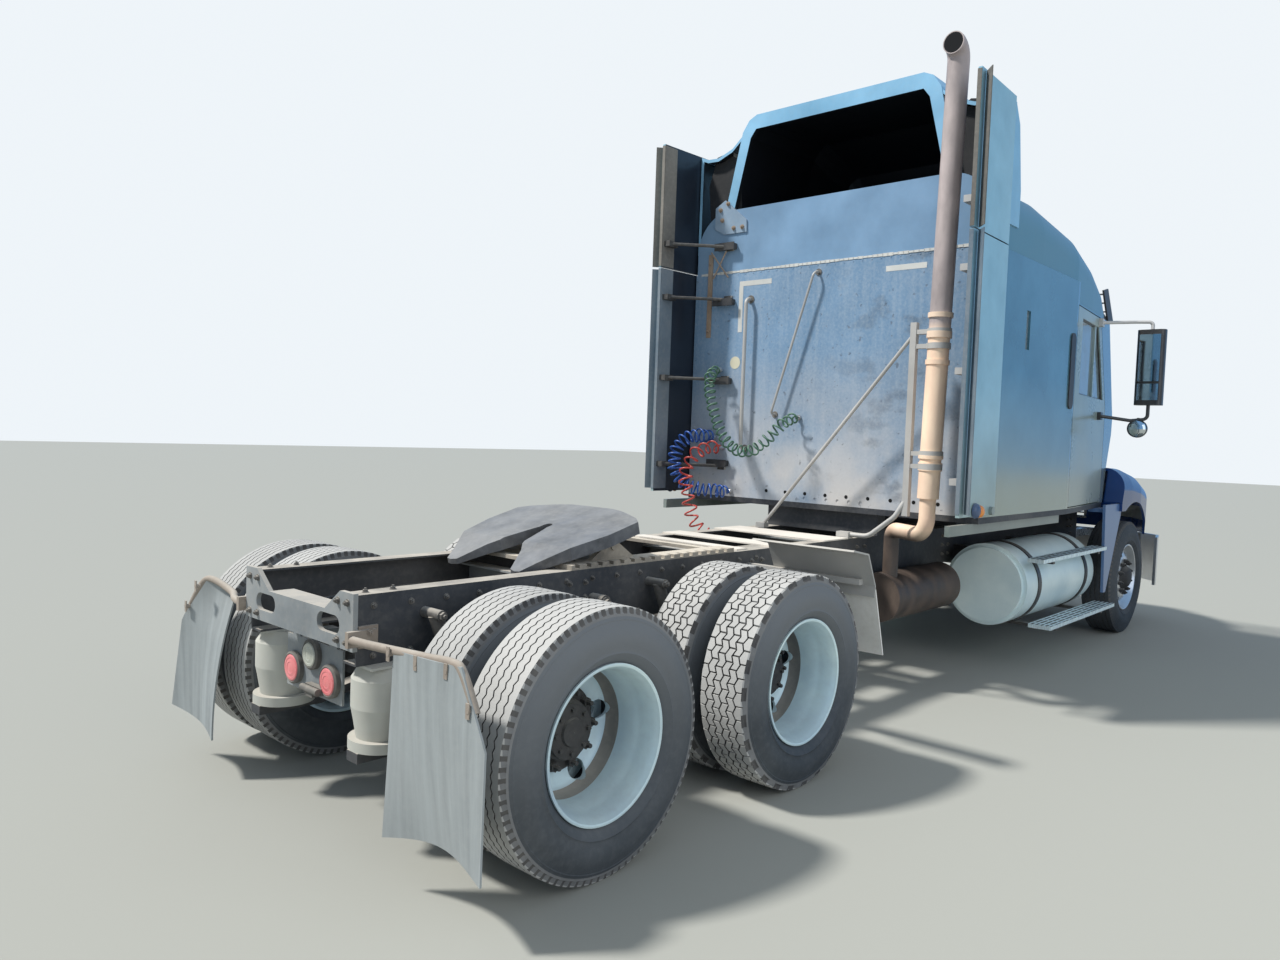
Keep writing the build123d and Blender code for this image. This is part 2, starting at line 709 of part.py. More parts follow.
def knuckle():
    """Steering knuckle with two king pin ears, the spindle and the tie rod arm, left side."""
    pin_r = KNUCKLE_PIN_R + SPINDLE_CLEAR
    x = STEER_AXLE_X
    ears = [block(x - 45, x + 45, KINGPIN_Y - 45, KINGPIN_Y + 75, z0, z1) for z0, z1 in ((430, 468), (562, 600))]
    web = block(x - 45, x + 45, KINGPIN_Y + 64, KINGPIN_Y + 75, 430, 600)
    spindle = rod((x, KINGPIN_Y + 70, AXLE_Z), (x, STEER_TYRE_Y + 50, AXLE_Z), SPINDLE_R)
    arm = along_z(((x - 45, KINGPIN_Y - 20), (x - 45, KINGPIN_Y + 20), (x - TIE_ARM - 26, KINGPIN_Y - 40),
                   (x - TIE_ARM - 26, KINGPIN_Y - 88), (x - TIE_ARM, KINGPIN_Y - 92)), 430, 456)
    whole = joined(ears + [web, spindle, arm])
    return whole - rod((x, KINGPIN_Y, 420), (x, KINGPIN_Y, 610), pin_r)


def tie_rod():
    """Bar between the two knuckle arms, with an end block on each arm's underside."""
    x = STEER_AXLE_X - TIE_ARM
    y = KINGPIN_Y - 66
    bar = rod((x, -y, 395), (x, y, 395), TIE_ROD_R)
    ends = [rod((x, side * y, 375), (x, side * y, 424.5), 22) for side in (1, -1)]
    return [joined([bar] + ends)]


def engine():
    block_solid = block(ENGINE_X0, ENGINE_X1, -320, 320, 620, 1500)
    box = block(GEARBOX_X0, ENGINE_X0, -200, 200, 640, 960)
    feet = [block(x, x + 80, -RAIL_IN_Y, RAIL_IN_Y, 860, 940) for x in (5500, 6480, 7100)]
    radiator = block(7380, 7440, -FLANGE_IN_Y + 7, FLANGE_IN_Y - 7, CROSSMEMBER_TOP_Z, 1440)
    return [joined([block_solid, box] + feet), radiator]


def fuel_tanks():
    """Round tanks with slightly domed ends."""
    tank = rod((TANK_X0 + 30, TANK_Y, TANK_Z), (TANK_X1 - 30, TANK_Y, TANK_Z), TANK_R)
    ends = [
        rod((TANK_X0, TANK_Y, TANK_Z), (TANK_X0 + 30, TANK_Y, TANK_Z), TANK_R - 30),
        rod((TANK_X1 - 30, TANK_Y, TANK_Z), (TANK_X1, TANK_Y, TANK_Z), TANK_R - 30),
    ]
    return both_sides([joined([tank] + ends)])


def tank_brackets():
    """Straps round the tanks, each on a bracket from the rail, with the step hangers."""
    pieces = []
    for x in STRAP_XS:
        x0 = x - STRAP_W / 2
        x1 = x + STRAP_W / 2
        band = rod((x0, TANK_Y, TANK_Z), (x1, TANK_Y, TANK_Z), TANK_R + STRAP_T)
        arm = block(x0, x1, FRAME_HALF_W, TANK_Y - 190, TANK_Z + 147, TANK_Z + 247)
        upper = block(x - 20, x + 20, TANK_Y, STEP_IN_Y + 105, STEP_TOP_Z - 50, STEP_TOP_Z - 28)
        lower = block(x - 20, x + 20, TANK_Y, STEP_IN_Y + 150, STEP_LOW_Z - 50, STEP_LOW_Z - 28)
        whole = joined([band, arm, upper, lower])
        pieces.append(whole - rod((x0 - 1, TANK_Y, TANK_Z), (x1 + 1, TANK_Y, TANK_Z), TANK_R))
    return both_sides(pieces)


def steps():
    """Upper and lower tread on each side, one above the other."""
    treads = []
    # y0, y1, top height, x0, x1
    table = (
        (STEP_IN_Y, STEP_IN_Y + 115, STEP_TOP_Z, TANK_X0 + 30, TANK_X1 - 70),
        (STEP_IN_Y + 5, STEP_IN_Y + 165, STEP_LOW_Z, TANK_X0 + 100, TANK_X1 + 60),
    )
    for y0, y1, top, x0, x1 in table:
        tread = block(x0, x1, y0, y1, top - 28, top)
        treads.append(tread - block(x0 + 5, x1 - 5, y0 + 5, y1 - 5, top - 29, top - 5))
    return both_sides(treads)


def stack_line(z):
    """How far the leaning exhaust stack stands from the middle of the truck at height z."""
    return STACK_LOW_Y + (STACK_TOP_Y - STACK_LOW_Y) * (z - STACK_FOOT_Z) / (STACK_TIP_Z - STACK_FOOT_Z)


def exhaust():
    """Can below the cab, elbow, and the tall stack with its turned tip, on the right side."""
    can = rod((CAN_X0, -CAN_Y, CAN_Z), (CAN_X1, -CAN_Y, CAN_Z), CAN_R)
    inlet = rod((CAN_X0 + 90, -CAN_Y - 40, CAN_Z), (CAN_X0 + 90, -CAN_Y - 40, 900), 50)
    points = (
        (CAN_X0 + 90, -CAN_Y - 40, 900),
        (CAN_X0 + 90, -CAN_Y - 40, 1065),
        (STACK_X, -stack_line(1150) - 2, 1065),
        (STACK_X, -stack_line(1400), 1400),
    )
    elbow = bent_tube(points, (60, 110), 50)
    stack = rod((STACK_X, -stack_line(1300), 1300), (STACK_X, -stack_line(3950), 3950), STACK_R)
    top = (
        (STACK_X, -stack_line(3940), 3940),
        (STACK_X, -stack_line(4060), 4060),
        (STACK_X - 90, -stack_line(4060), 4060),
    )
    tip = bent_tube(top, (82,), STACK_R)
    return [joined([can, inlet, elbow, stack, tip])]


def back_wall_brackets():
    """Struts of the side extenders, stack post with clamps and brace, grab rail and hose rod."""
    pieces = []
    wall = CAB_BACK_X
    for side, wall_y in ((1, CAB_HALF_W - 325), (-1, CAB_HALF_W - 85)):
        for z in STRUT_ZS:
            strut = rod((wall - 15, wall_y, z), (EXT_REAR_X + 60, EXT_OUT_Y - 72, z), STRUT_R)
            foot = block(wall - 14, wall, wall_y - 35, wall_y + 35, z - 30, z + 30)
            head = block(EXT_REAR_X + 20, EXT_REAR_X + 120, EXT_OUT_Y - 82, extender_in_y(EXT_REAR_X + 120) - 0.5,
                         z - 20, z + 20)
            piece = joined([strut, foot, head])
            pieces.append(piece if side > 0 else piece.mirror(Plane.XZ))
    post_y = 800
    post_x = STACK_X - 30
    arm_x = STACK_X - 60
    post = block(post_x - 20, post_x + 20, -post_y - 20, -post_y + 20, 1180, 2400)
    foot = block(arm_x - 30, arm_x + 30, -FRAME_HALF_W, -FLANGE_IN_Y, RAIL_TOP_Z, RAIL_TOP_Z + 44)
    arm = bent_tube(((arm_x, -FLANGE_IN_Y - 20, 1028), (arm_x, -560, 1028), (arm_x, -740, 1170),
                     (post_x, -post_y, 1290)), (110, 90), 16)
    parts = [post, foot, arm]
    for z in (1500, 1580, 2250, 2340):
        collar = Pos(STACK_X, -stack_line(z), z) * Cylinder(STACK_R + 8, 36)
        link = block(post_x - 16, STACK_X, -stack_line(z) + 30, -post_y, z - 14, z + 14)
        parts.append(collar + link)
    brace = rod((post_x, -post_y, 2330), (STACK_X + 30, 330, RAIL_TOP_Z + 20), 12)
    lug = block(STACK_X, STACK_X + 60, 300, 372, RAIL_TOP_Z, RAIL_TOP_Z + 36)
    support = joined(parts + [brace, lug])
    support = support - rod((STACK_X, -stack_line(1300), 1300), (STACK_X, -stack_line(3950), 3950), STACK_R)
    rail_x = wall - 60
    rail = bent_tube(((wall, 640, 1560), (rail_x, 640, 1560), (rail_x, 640, 2680), (wall, 640, 2680)), (40, 40), 14)
    hook = bent_tube(((wall, 60, 2830), (rail_x, 60, 2830), (rail_x, 380, 1820), (wall, 380, 1820)), (40, 40), 9)
    return pieces + [support, rail, hook]


def taper_y(x):
    """Outer side of the cab wall at a station: straight along the sleeper, then in towards the front."""
    if x <= TAPER_X:
        return CAB_HALF_W
    share = (x - TAPER_X) / (CAB_FRONT_X - TAPER_X)
    return CAB_HALF_W + (CAB_FRONT_HALF_W - CAB_HALF_W) * share


def wall_band(x0, x1, inset, thickness, z0, z1):
    """Upright wall that follows the cab's side, its outer face set in by inset, left side."""
    stations = [x for x in (x0, TAPER_X, x1) if x0 <= x <= x1]
    outer = [(x, taper_y(x) - inset) for x in stations]
    inner = [(x, taper_y(x) - inset - thickness) for x in reversed(stations)]
    return along_z(outer + inner, z0, z1)


SIDE_OUTLINE = (
    (CAB_BACK_X + WALL_T, CAB_LOW_Z),
    (CAB_FRONT_X + 20, CAB_LOW_Z),
    (6400, 1490),
    (SCREEN_FOOT_X - 10, 1790),
    (SCREEN_FOOT_X, COWL_Z),
    (SCREEN_TOP_X, DOOR_TOP_Z),
    (TAPER_X + 50, DOOR_TOP_Z),
    (TAPER_X + 50, SEAM_Z),
    (CAB_BACK_X + WALL_T, SEAM_Z),
)

DOOR_BELT_Z = 2000
DOOR_PILLAR_X = 5830
DOOR_LOW_Z = CAB_LOW_Z + 12


def door_outline(grow):
    """Door's edge seen from the side, widened all round by grow."""
    return (
        (DOOR_REAR_X - grow, DOOR_LOW_Z - grow),
        (DOOR_FRONT_X + grow, DOOR_LOW_Z - grow),
        (DOOR_FRONT_X + grow, DOOR_BELT_Z + grow),
        (DOOR_PILLAR_X + grow, DOOR_TOP_Z - 14 + grow),
        (DOOR_REAR_X - grow, DOOR_TOP_Z - 14 + grow),
    )


WINDOW_OUTLINE = ((5150, 2070), (6080, 2070), (5760, 2650), (5150, 2650))
SLOT_WINDOW = ((3930, 2300), (4000, 2300), (4000, 2560), (3930, 2560))


def cab_sides():
    band = wall_band(CAB_BACK_X + WALL_T, SCREEN_FOOT_X, 0, WALL_T, 1000, 3100)
    side = band & along_y(SIDE_OUTLINE, 900, 1300)
    side = side - along_y(door_outline(DOOR_GAP), 900, 1300)
    side = side - along_y(SLOT_WINDOW, 900, 1300)
    return both_sides([side])


def door():
    """Left door with its window opening and the window's divider."""
    band = wall_band(TAPER_X, SCREEN_FOOT_X, 0, DOOR_T, 1000, 3100)
    panel = band & along_y(door_outline(0), 900, 1300)
    panel = panel - along_y(WINDOW_OUTLINE, 900, 1300)
    divider = wall_band(5640, 5680, 4, DOOR_T - 8, 2070, 2650)
    return panel + divider


def door_glass():
    """Two panes in the door's window opening."""
    pane = wall_band(TAPER_X, SCREEN_FOOT_X, 20, GLASS_T, 1000, 3100) & along_y(WINDOW_OUTLINE, 900, 1300)
    return [pane - wall_band(5640, 5680, 0, DOOR_T, 2000, 2700)]


def mirror_and_arms():
    """Tall door mirror on two arms with a small round one below, left side."""
    y = MIRROR_IN_Y
    middle = y + MIRROR_W / 2
    case = block(6040, 6150, y, y + MIRROR_W, 2030, 2650)
    case = fillet(case.edges().filter_by(Axis.Z), 40)
    upper_foot = (5780, 2690)
    lower_foot = (5920, 1930)
    upper = bent_tube(((upper_foot[0], taper_y(upper_foot[0]) + 20, upper_foot[1]), (6040, y - 5, 2715),
                       (6095, middle, 2715), (6095, middle, 2650)), (60, 30), 14)
    lower = bent_tube(((lower_foot[0], taper_y(lower_foot[0]) + 20, lower_foot[1]), (6060, y - 15, 1900),
                       (6095, middle, 1915), (6095, middle, 2030)), (60, 40), 14)
    plates = [
        along_z(((x - 40, taper_y(x - 40) + 0.3), (x + 40, taper_y(x + 40) + 0.3), (x + 40, taper_y(x + 40) + 30),
                 (x - 40, taper_y(x - 40) + 30)), z - 32, z + 32)
        for x, z in (upper_foot, lower_foot)
    ]
    bullet = rod((6060, y + 40, 1835), (6120, y + 30, 1835), 75)
    stem = rod((6085, y + 40, 1850), (6085, y + 40, 1925), 10)
    return [joined([case, upper, lower] + plates + [bullet, stem])]


def cab_floor():
    """Floor with the cross bearers that carry it on the frame."""
    outline = ((CAB_BACK_X, CAB_HALF_W), (TAPER_X, CAB_HALF_W), (CAB_FRONT_X, CAB_FRONT_HALF_W),
               (CAB_FRONT_X, -CAB_FRONT_HALF_W), (TAPER_X, -CAB_HALF_W), (CAB_BACK_X, -CAB_HALF_W))
    floor = along_z(outline, FLOOR_LOW_Z, CAB_LOW_Z)
    bearers = [
        block(x - 50, x + 50, -FRAME_HALF_W - 20, FRAME_HALF_W + 20, RAIL_TOP_Z, FLOOR_LOW_Z)
        for x in (3420, 4700, 6100)
    ]
    return [joined([floor] + bearers)]


def cab_back_wall():
    """Flat rear panel of the sleeper with a row of drain holes."""
    x0 = CAB_BACK_X
    panel = block(x0, x0 + WALL_T, -CAB_HALF_W, CAB_HALF_W, CAB_LOW_Z, SEAM_Z)
    for i in range(6):
        y = 100 - 90 * i
        panel = panel - rod((x0 - 1, y, 1222), (x0 + 6, y, 1222), 12)
    return [panel]


def roof_section(x, half, top, radius, inset):
    """Closed outline across the roof: straight sides, round shoulders and a flat top."""
    half = half - inset
    top = top - inset
    radius = radius - inset * 0.6
    low = DOOR_TOP_Z
    edges = [
        Edge.make_line((x, -half, low), (x, -half, top - radius)),
        Edge.make_three_point_arc(
            (x, -half, top - radius),
            (x, -half + radius * (1 - math.sqrt(0.5)), top - radius * (1 - math.sqrt(0.5))),
            (x, -half + radius, top),
        ),
        Edge.make_line((x, -half + radius, top), (x, half - radius, top)),
        Edge.make_three_point_arc(
            (x, half - radius, top),
            (x, half - radius * (1 - math.sqrt(0.5)), top - radius * (1 - math.sqrt(0.5))),
            (x, half, top - radius),
        ),
        Edge.make_line((x, half, top - radius), (x, half, low)),
        Edge.make_line((x, half, low), (x, -half, low)),
    ]
    return Wire(edges)


def roof_volume(inset):
    return Solid.make_loft([roof_section(*row, inset) for row in ROOF_SECTIONS], True)


def cab_roof():
    """Roof cap over the sleeper and the cab, open below, closed at the back."""
    shell = roof_volume(0) - (roof_volume(WALL_T) - block(3000, CAB_BACK_X + WALL_T, -1300, 1300, 2000, 4000))
    below = block(3000, TAPER_X + 50, -1300, 1300, 2000, SEAM_Z)
    return [shell - below]


def cab_front():
    """Firewall, cowl and the leaning windscreen frame with its centre post."""
    half = CAB_FRONT_HALF_W - WALL_T
    foot_half = taper_y(SCREEN_FOOT_X) - WALL_T
    firewall = block(CAB_FRONT_X - WALL_T, CAB_FRONT_X, -half, half, CAB_LOW_Z, COWL_Z)
    cowl = block(CAB_FRONT_X - WALL_T, SCREEN_FOOT_X, -foot_half, foot_half, COWL_Z - WALL_T, COWL_Z)
    lean = ((SCREEN_FOOT_X, COWL_Z), (SCREEN_TOP_X, DOOR_TOP_Z), (SCREEN_TOP_X - 60, DOOR_TOP_Z),
            (SCREEN_FOOT_X - 60, COWL_Z))
    screen = along_y(lean, -foot_half, foot_half)
    opening = ((SCREEN_FOOT_X + 40, COWL_Z + 70), (SCREEN_TOP_X + 90, DOOR_TOP_Z - 70),
               (SCREEN_TOP_X - 200, DOOR_TOP_Z - 70), (SCREEN_FOOT_X - 200, COWL_Z + 70))
    for side in (1, -1):
        y0, y1 = sorted((side * 22, side * (foot_half - 60)))
        screen = screen - along_y(opening, y0, y1)
    return [joined([firewall, cowl, screen])]


def cab_glass():
    """Windscreen panes and the two slot windows of the sleeper."""
    foot_half = taper_y(SCREEN_FOOT_X) - WALL_T
    lean_x = (SCREEN_FOOT_X - SCREEN_TOP_X) / (DOOR_TOP_Z - COWL_Z)
    z0 = COWL_Z + 70
    z1 = DOOR_TOP_Z - 70
    x0 = SCREEN_FOOT_X - 30 - lean_x * (z0 - COWL_Z)
    x1 = SCREEN_FOOT_X - 30 - lean_x * (z1 - COWL_Z)
    pane = along_y(((x0, z0), (x1, z1), (x1 - GLASS_T, z1), (x0 - GLASS_T, z0)), 22, foot_half - 60)
    slot = along_y(SLOT_WINDOW, CAB_HALF_W - 20, CAB_HALF_W - 14)
    return both_sides([pane, slot])


def fairing_section(x, foot, top_half, top, inset):
    """Outline across the roof fairing: leaning sides, round top corners."""
    y0 = foot - inset
    y1 = top_half - inset
    z1 = top - inset
    r = 110
    return Wire.make_polygon(
        [(x, -y0, FAIRING_FOOT_Z), (x, -y1 - 12, z1 - r), (x, -y1 + r * 0.4, z1 - r * 0.28), (x, -y1 + r, z1),
         (x, y1 - r, z1), (x, y1 - r * 0.4, z1 - r * 0.28), (x, y1 + 12, z1 - r), (x, y0, FAIRING_FOOT_Z)],
        close=True,
    )


def fairing_mouth():
    """Opening at the back of the fairing, inside its wide rim."""
    x, foot, top_half, top = FAIRING_SECTIONS[0]
    low = FAIRING_FOOT_Z
    high = top - FAIRING_RIM_TOP
    y0 = foot - FAIRING_RIM_SIDE
    y1 = top_half - FAIRING_RIM_SIDE + 10
    outline = ((-y0, low), (y0, low), (y1 + 6, high - 60), (y1 - 40, high), (40 - y1, high), (-y1 - 6, high - 60))
    return along_x(outline, x - 1, x + FAIRING_RIM_T + 1)


def fairing_wing():
    """Curved top from the fairing's side to the extender, with the upright panel below it, left side."""
    end = EXT_OUT_Y - 46
    path = ((700, 3990), (880, 3838), (end - 166, 3790), (end - 66, 3795), (end, 3822))
    under = [(y, z - 24) for y, z in reversed(path)]
    top = along_x(list(path) + under, CAB_BACK_X + 10, CAB_BACK_X + 400)
    panel = along_y(
        (
            (CAB_BACK_X + 10, 3060), (CAB_BACK_X + 400, 3060), (CAB_BACK_X + 400, 3300),
            (CAB_BACK_X + 330, 3700), (CAB_BACK_X + 260, 3812), (CAB_BACK_X + 10, 3812),
        ),
        end - 24,
        end,
    )
    trim = along_y(((CAB_BACK_X + 261, 3700), (CAB_BACK_X + 500, 3700), (CAB_BACK_X + 500, 4100),
                    (CAB_BACK_X + 261, 4100)), end - 60, end + 1)
    return top - trim + panel


def roof_fairing():
    """Hollow wind fairing on the roof, open at the back inside a wide rim, with a wing on each side."""
    outer = Solid.make_loft([fairing_section(*row, 0) for row in FAIRING_SECTIONS], True)
    rows = [
        (x - 40 if i else x + FAIRING_RIM_T, foot, top_half, top)
        for i, (x, foot, top_half, top) in enumerate(FAIRING_SECTIONS)
    ]
    inner = Solid.make_loft([fairing_section(*row, FAIRING_T) for row in rows], True)
    wing = fairing_wing()
    whole = outer + wing + wing.mirror(Plane.XZ) - inner - fairing_mouth()
    return [whole - roof_volume(-0.3)]


def extender_out_y(x):
    share = (x - EXT_REAR_X) / (EXT_FRONT_X - EXT_REAR_X)
    return EXT_OUT_Y + (CAB_HALF_W + EXT_T + 4 - EXT_OUT_Y) * share


def extender_in_y(x):
    return extender_out_y(x) - EXT_T


def side_extenders():
    """Lower and upper panel on each side, flared out to their trailing edge."""
    plan = ((EXT_REAR_X, extender_out_y(EXT_REAR_X)), (EXT_FRONT_X, extender_out_y(EXT_FRONT_X)),
            (EXT_FRONT_X, extender_in_y(EXT_FRONT_X)), (EXT_REAR_X, extender_in_y(EXT_REAR_X)))
    lower = along_z(plan, EXT_LOW_Z, EXT_SEAM_Z - 4)
    upper = along_z(plan, EXT_SEAM_Z + 4, EXT_TOP_Z)
    return both_sides([lower, upper])


def skirts():
    """Grey skirt below the sleeper and the painted splash panel ahead of the tank, each side."""
    skirt = block(CAB_BACK_X - 340, 4900, CAB_HALF_W - 65, CAB_HALF_W - 35, SKIRT_LOW_Z, FLOOR_LOW_Z)
    panel = along_y(
        ((SPLASH_X0, SPLASH_TOP_Z), (SPLASH_X0 + 480, SPLASH_TOP_Z), (SPLASH_X0 + 450, 1080),
         (SPLASH_X0 + 130, 440), (SPLASH_X0 + 70, 440)),
        SPLASH_Y,
        SPLASH_Y + SPLASH_T,
    )
    tie = block(SPLASH_X0 + 50, CAB_FRONT_X - 50, CAB_FRONT_HALF_W - 20, SPLASH_Y, FLOOR_LOW_Z - 30, FLOOR_LOW_Z)
    return both_sides([skirt, panel + tie])


def sun_visor():
    """Louvred visor above the windscreen: four blades between end plates, on arms from the roof."""
    half = CAB_FRONT_HALF_W - 75
    plate = along_y(((6460, 2765), (6590, 2795), (6390, 3065), (6270, 3035)), half - 15, half)
    arms = [
        along_y(((6050, 2880), (6480, 2770), (6500, 2800), (6070, 2935)), y - 10, y + 10)
        for y in (half - 25, half / 2)
    ]
    blades = []
    for i in range(4):
        x = 6480 - 52 * i
        z = 2800 + 70 * i
        blades.append(along_y(((x, z - 6), (x + 95, z + 6), (x + 95, z + 18), (x, z + 6)), -half, half))
    spine = along_y(((6458, 2770), (6478, 2770), (6330, 3040), (6300, 3035)), half / 2 - 10, half / 2 + 10)
    sided = [plate] + arms + [spine]
    return [joined(blades + both_sides(sided)) - roof_volume(-0.3)]


def interior():
    """Dashboard with the steering column and wheel."""
    half = CAB_FRONT_HALF_W - 90
    dash = block(6000, 6240, -half, half, 1480, 1880) - block(5990, 6120, -half, half, 1470, 1700)
    wheel = Pos(5830, 450, 1830) * Rot(0, -60, 0) * Torus(220, 16)
    hub = Pos(5830, 450, 1830) * Rot(0, -60, 0) * Cylinder(60, 30)
    spoke = Pos(5830, 450, 1830) * Rot(0, -60, 0) * Box(24, 430, 14)
    column = rod((5840, 450, 1825), (6020, 450, 1720), 28)
    return [joined([dash, column, hub, spoke, wheel])]


def seats():
    """Two seats and the bunk on its plinth."""
    pieces = []
    for y in (-SEAT_Y, SEAT_Y):
        base = block(5250, 5600, y - 180, y + 180, CAB_LOW_Z, 1520)
        cushion = block(5180, 5680, y - 250, y + 250, 1520, 1660)
        back = along_y(((5180, 1660), (5330, 1660), (5230, 2330), (5110, 2330)), y - 240, y + 240)
        pieces.append(joined([base, cushion, back]))
    half = CAB_HALF_W - 95
    bunk = block(CAB_BACK_X + WALL_T, CAB_BACK_X + 850, -half, half, 1500, 1680)
    plinth = block(CAB_BACK_X + WALL_T, CAB_BACK_X + 800, 30 - half, half - 30, CAB_LOW_Z, 1500)
    pieces.append(bunk + plinth)
    return pieces


# Fenders and nose: station, half width, top height, shoulder radius
FENDER_SECTIONS = (
    (6200, HOOD_HALF_W, 1500, 190),
    (6650, HOOD_HALF_W, 1486, 190),
    (6950, HOOD_HALF_W - 5, 1440, 180),
    (7250, HOOD_HALF_W - 30, 1355, 160),
    (7550, HOOD_HALF_W - 110, 1245, 130),
    (7780, HOOD_HALF_W - 265, 1150, 100),
    (7920, HOOD_HALF_W - 475, 1080, 80),
    (HOOD_NOSE_X, HOOD_HALF_W - 725, 1020, 60),
)

# Engine cover: station, half width, top height, shoulder radius
HOOD_SECTIONS = (
    (6430, 820, 1900, 170),
    (7050, 700, 1800, 170),
    (7700, 560, 1560, 150),
    (7900, 500, 1330, 110),
)
COVER_LOW_Z = 900
HOOD_FOOT_Z = 1120
# Rear edge of the hood, from below upward
HOOD_REAR_LINE = ((HOOD_REAR_X + 10, 700), (HOOD_REAR_X + 10, 1196), (HOOD_REAR_X + 100, 1476),
                  (HOOD_REAR_X + 245, 1800), (HOOD_REAR_X + 250, 1920))
HOOD_WALL_TOP = (HOOD_REAR_X + 32, 1196)
HOOD_WALL_LOW = (HOOD_REAR_X + 32, 700)


def cover_section(x, half, top, radius, inset, low):
    """Closed outline across the hood: straight sides, round shoulders and a flat top."""
    half = half - inset
    top = top - inset
    k = 1 - math.sqrt(0.5)
    edges = [
        Edge.make_line((x, -half, low), (x, -half, top - radius)),
        Edge.make_three_point_arc((x, -half, top - radius), (x, -half + radius * k, top - radius * k),
                                  (x, -half + radius, top)),
        Edge.make_line((x, -half + radius, top), (x, half - radius, top)),
        Edge.make_three_point_arc((x, half - radius, top), (x, half - radius * k, top - radius * k),
                                  (x, half, top - radius)),
        Edge.make_line((x, half, top - radius), (x, half, low)),
        Edge.make_line((x, half, low), (x, -half, low)),
    ]
    return Wire(edges)


def hood_volume(sections, inset, low):
    """Loft through the stations, set in by inset on its sides, top and front end."""
    last = len(sections) - 1
    rows = [(x - inset if i == last else x, half, top, radius) for i, (x, half, top, radius) in enumerate(sections)]
    return Solid.make_loft([cover_section(*row, inset, low) for row in rows], True)


def hood_shell():
    """Tilting hood: engine cover with both fenders, hollow, open behind the engine and below, arches cut."""
    fenders = hood_volume(FENDER_SECTIONS, 0, HOOD_LOW_Z)
    void = hood_volume(FENDER_SECTIONS, HOOD_T, HOOD_LOW_Z - 100)
    cover_void = hood_volume(HOOD_SECTIONS, HOOD_T, COVER_LOW_Z - 50)
    back = block(HOOD_SECTIONS[0][0] - 60, HOOD_SECTIONS[0][0] + 1, HOOD_T - HOOD_SECTIONS[0][1],
                 HOOD_SECTIONS[0][1] - HOOD_T, COVER_LOW_Z, HOOD_SECTIONS[0][2] - HOOD_T - HOOD_SECTIONS[0][3])
    shell = fenders + hood_volume(HOOD_SECTIONS, 0, COVER_LOW_Z) - void - cover_void - back
    wall = along_y(HOOD_REAR_LINE[:3] + ((6475, 1510), HOOD_WALL_TOP, HOOD_WALL_LOW), CAB_FRONT_HALF_W, HOOD_HALF_W + 1)
    wall = wall - block(HOOD_REAR_X, HOOD_REAR_X + 60, SPLASH_Y - 8, HOOD_HALF_W + 2, 600, SPLASH_TOP_Z + 8)
    shell = shell + (wall & fenders) + (wall.mirror(Plane.XZ) & fenders)
    arch = rod((STEER_AXLE_X, -1400, AXLE_Z), (STEER_AXLE_X, 1400, AXLE_Z), ARCH_R)
    below = along_y(((6000, 700), (6000, HOOD_FOOT_Z), (6420, HOOD_FOOT_Z), (6900, 1100), (7300, HOOD_LOW_Z), (7300, 700)),
                    -1300, 1300)
    rear = along_y(((6000, 700),) + HOOD_REAR_LINE + ((6590, 2100), (6000, 2100)), -1300, 1300)
    return shell - arch - below - rear


def hood_parts():
    """The hood with its grille and headlamps let into the same skin."""
    shell = hood_shell()
    x0 = HOOD_NOSE_X - 285
    x1 = HOOD_NOSE_X + 115
    half = GRILLE_HALF_W
    low = GRILLE_LOW_Z
    grille_zone = block(x0, x1, -half, half, low, GRILLE_TOP_Z)
    lamp_zone = block(7500, 7900, 760, 1120, 985, 1110)
    lamp_zones = [lamp_zone, lamp_zone.mirror(Plane.XZ)]
    hood = shell - grille_zone
    for zone in lamp_zones:
        hood = hood - zone
    bars = []
    skin = shell & grille_zone
    frame = skin - block(x0 - 1, x1 + 1, 25 - half, half - 25, low + 25, GRILLE_TOP_Z - 25)
    pitch = (GRILLE_TOP_Z - low - 70) / 6
    for i in range(6):
        z = low + 50 + pitch * i
        bars.append(skin & block(x0 - 1, x1 + 1, 24 - half, half - 24, z, z + 14))
    posts = [skin & block(x0 - 1, x1 + 1, y - 8, y + 8, low + 20, GRILLE_TOP_Z - 20) for y in (-200, 0, 200)]
    grille = joined([frame] + bars + posts)
    lamps = [shell & zone for zone in lamp_zones]
    return hood, grille, lamps


def bumper():
    """Wide bumper, swept back at its ends, on two brackets from the frame."""
    plan = ((NOSE_X, -650), (NOSE_X, 650), (7960, 980), (7800, 1160), (7520, 1222), (7480, 1222),
            (7480, 1222 - BUMPER_T), (7510, 1222 - BUMPER_T), (7785, 1138), (7940, 962),
            (NOSE_X - BUMPER_T, 640), (NOSE_X - BUMPER_T, -640), (7940, -962), (7785, -1138),
            (7510, -1222 + BUMPER_T), (7480, -1222 + BUMPER_T), (7480, -1222), (7520, -1222), (7800, -1160),
            (7960, -980))
    face = along_z(plan, BUMPER_LOW_Z, BUMPER_TOP_Z)
    brackets = [
        block(RAIL_FRONT_X, NOSE_X - BUMPER_T, y - 30, y + 30, 745, 820) for y in (-387, 387)
    ]
    cut = block(NOSE_X - 200, NOSE_X + 1, -330, 330, BUMPER_LOW_Z - 1, BUMPER_LOW_Z + 90)
    return [joined([face] + brackets) - cut]


def marker_lamps():
    """Amber side markers on the extenders' lower corners."""
    y = extender_out_y(3400)
    lamp = rod((3400, y - 1, 1235), (3400, y + 22, 1235), 26)
    return both_sides([lamp - along_z(((2800, 1100), (3600, 1100), (3600, extender_out_y(3600)),
                                       (2800, extender_out_y(2800))), 1100, 1400)])


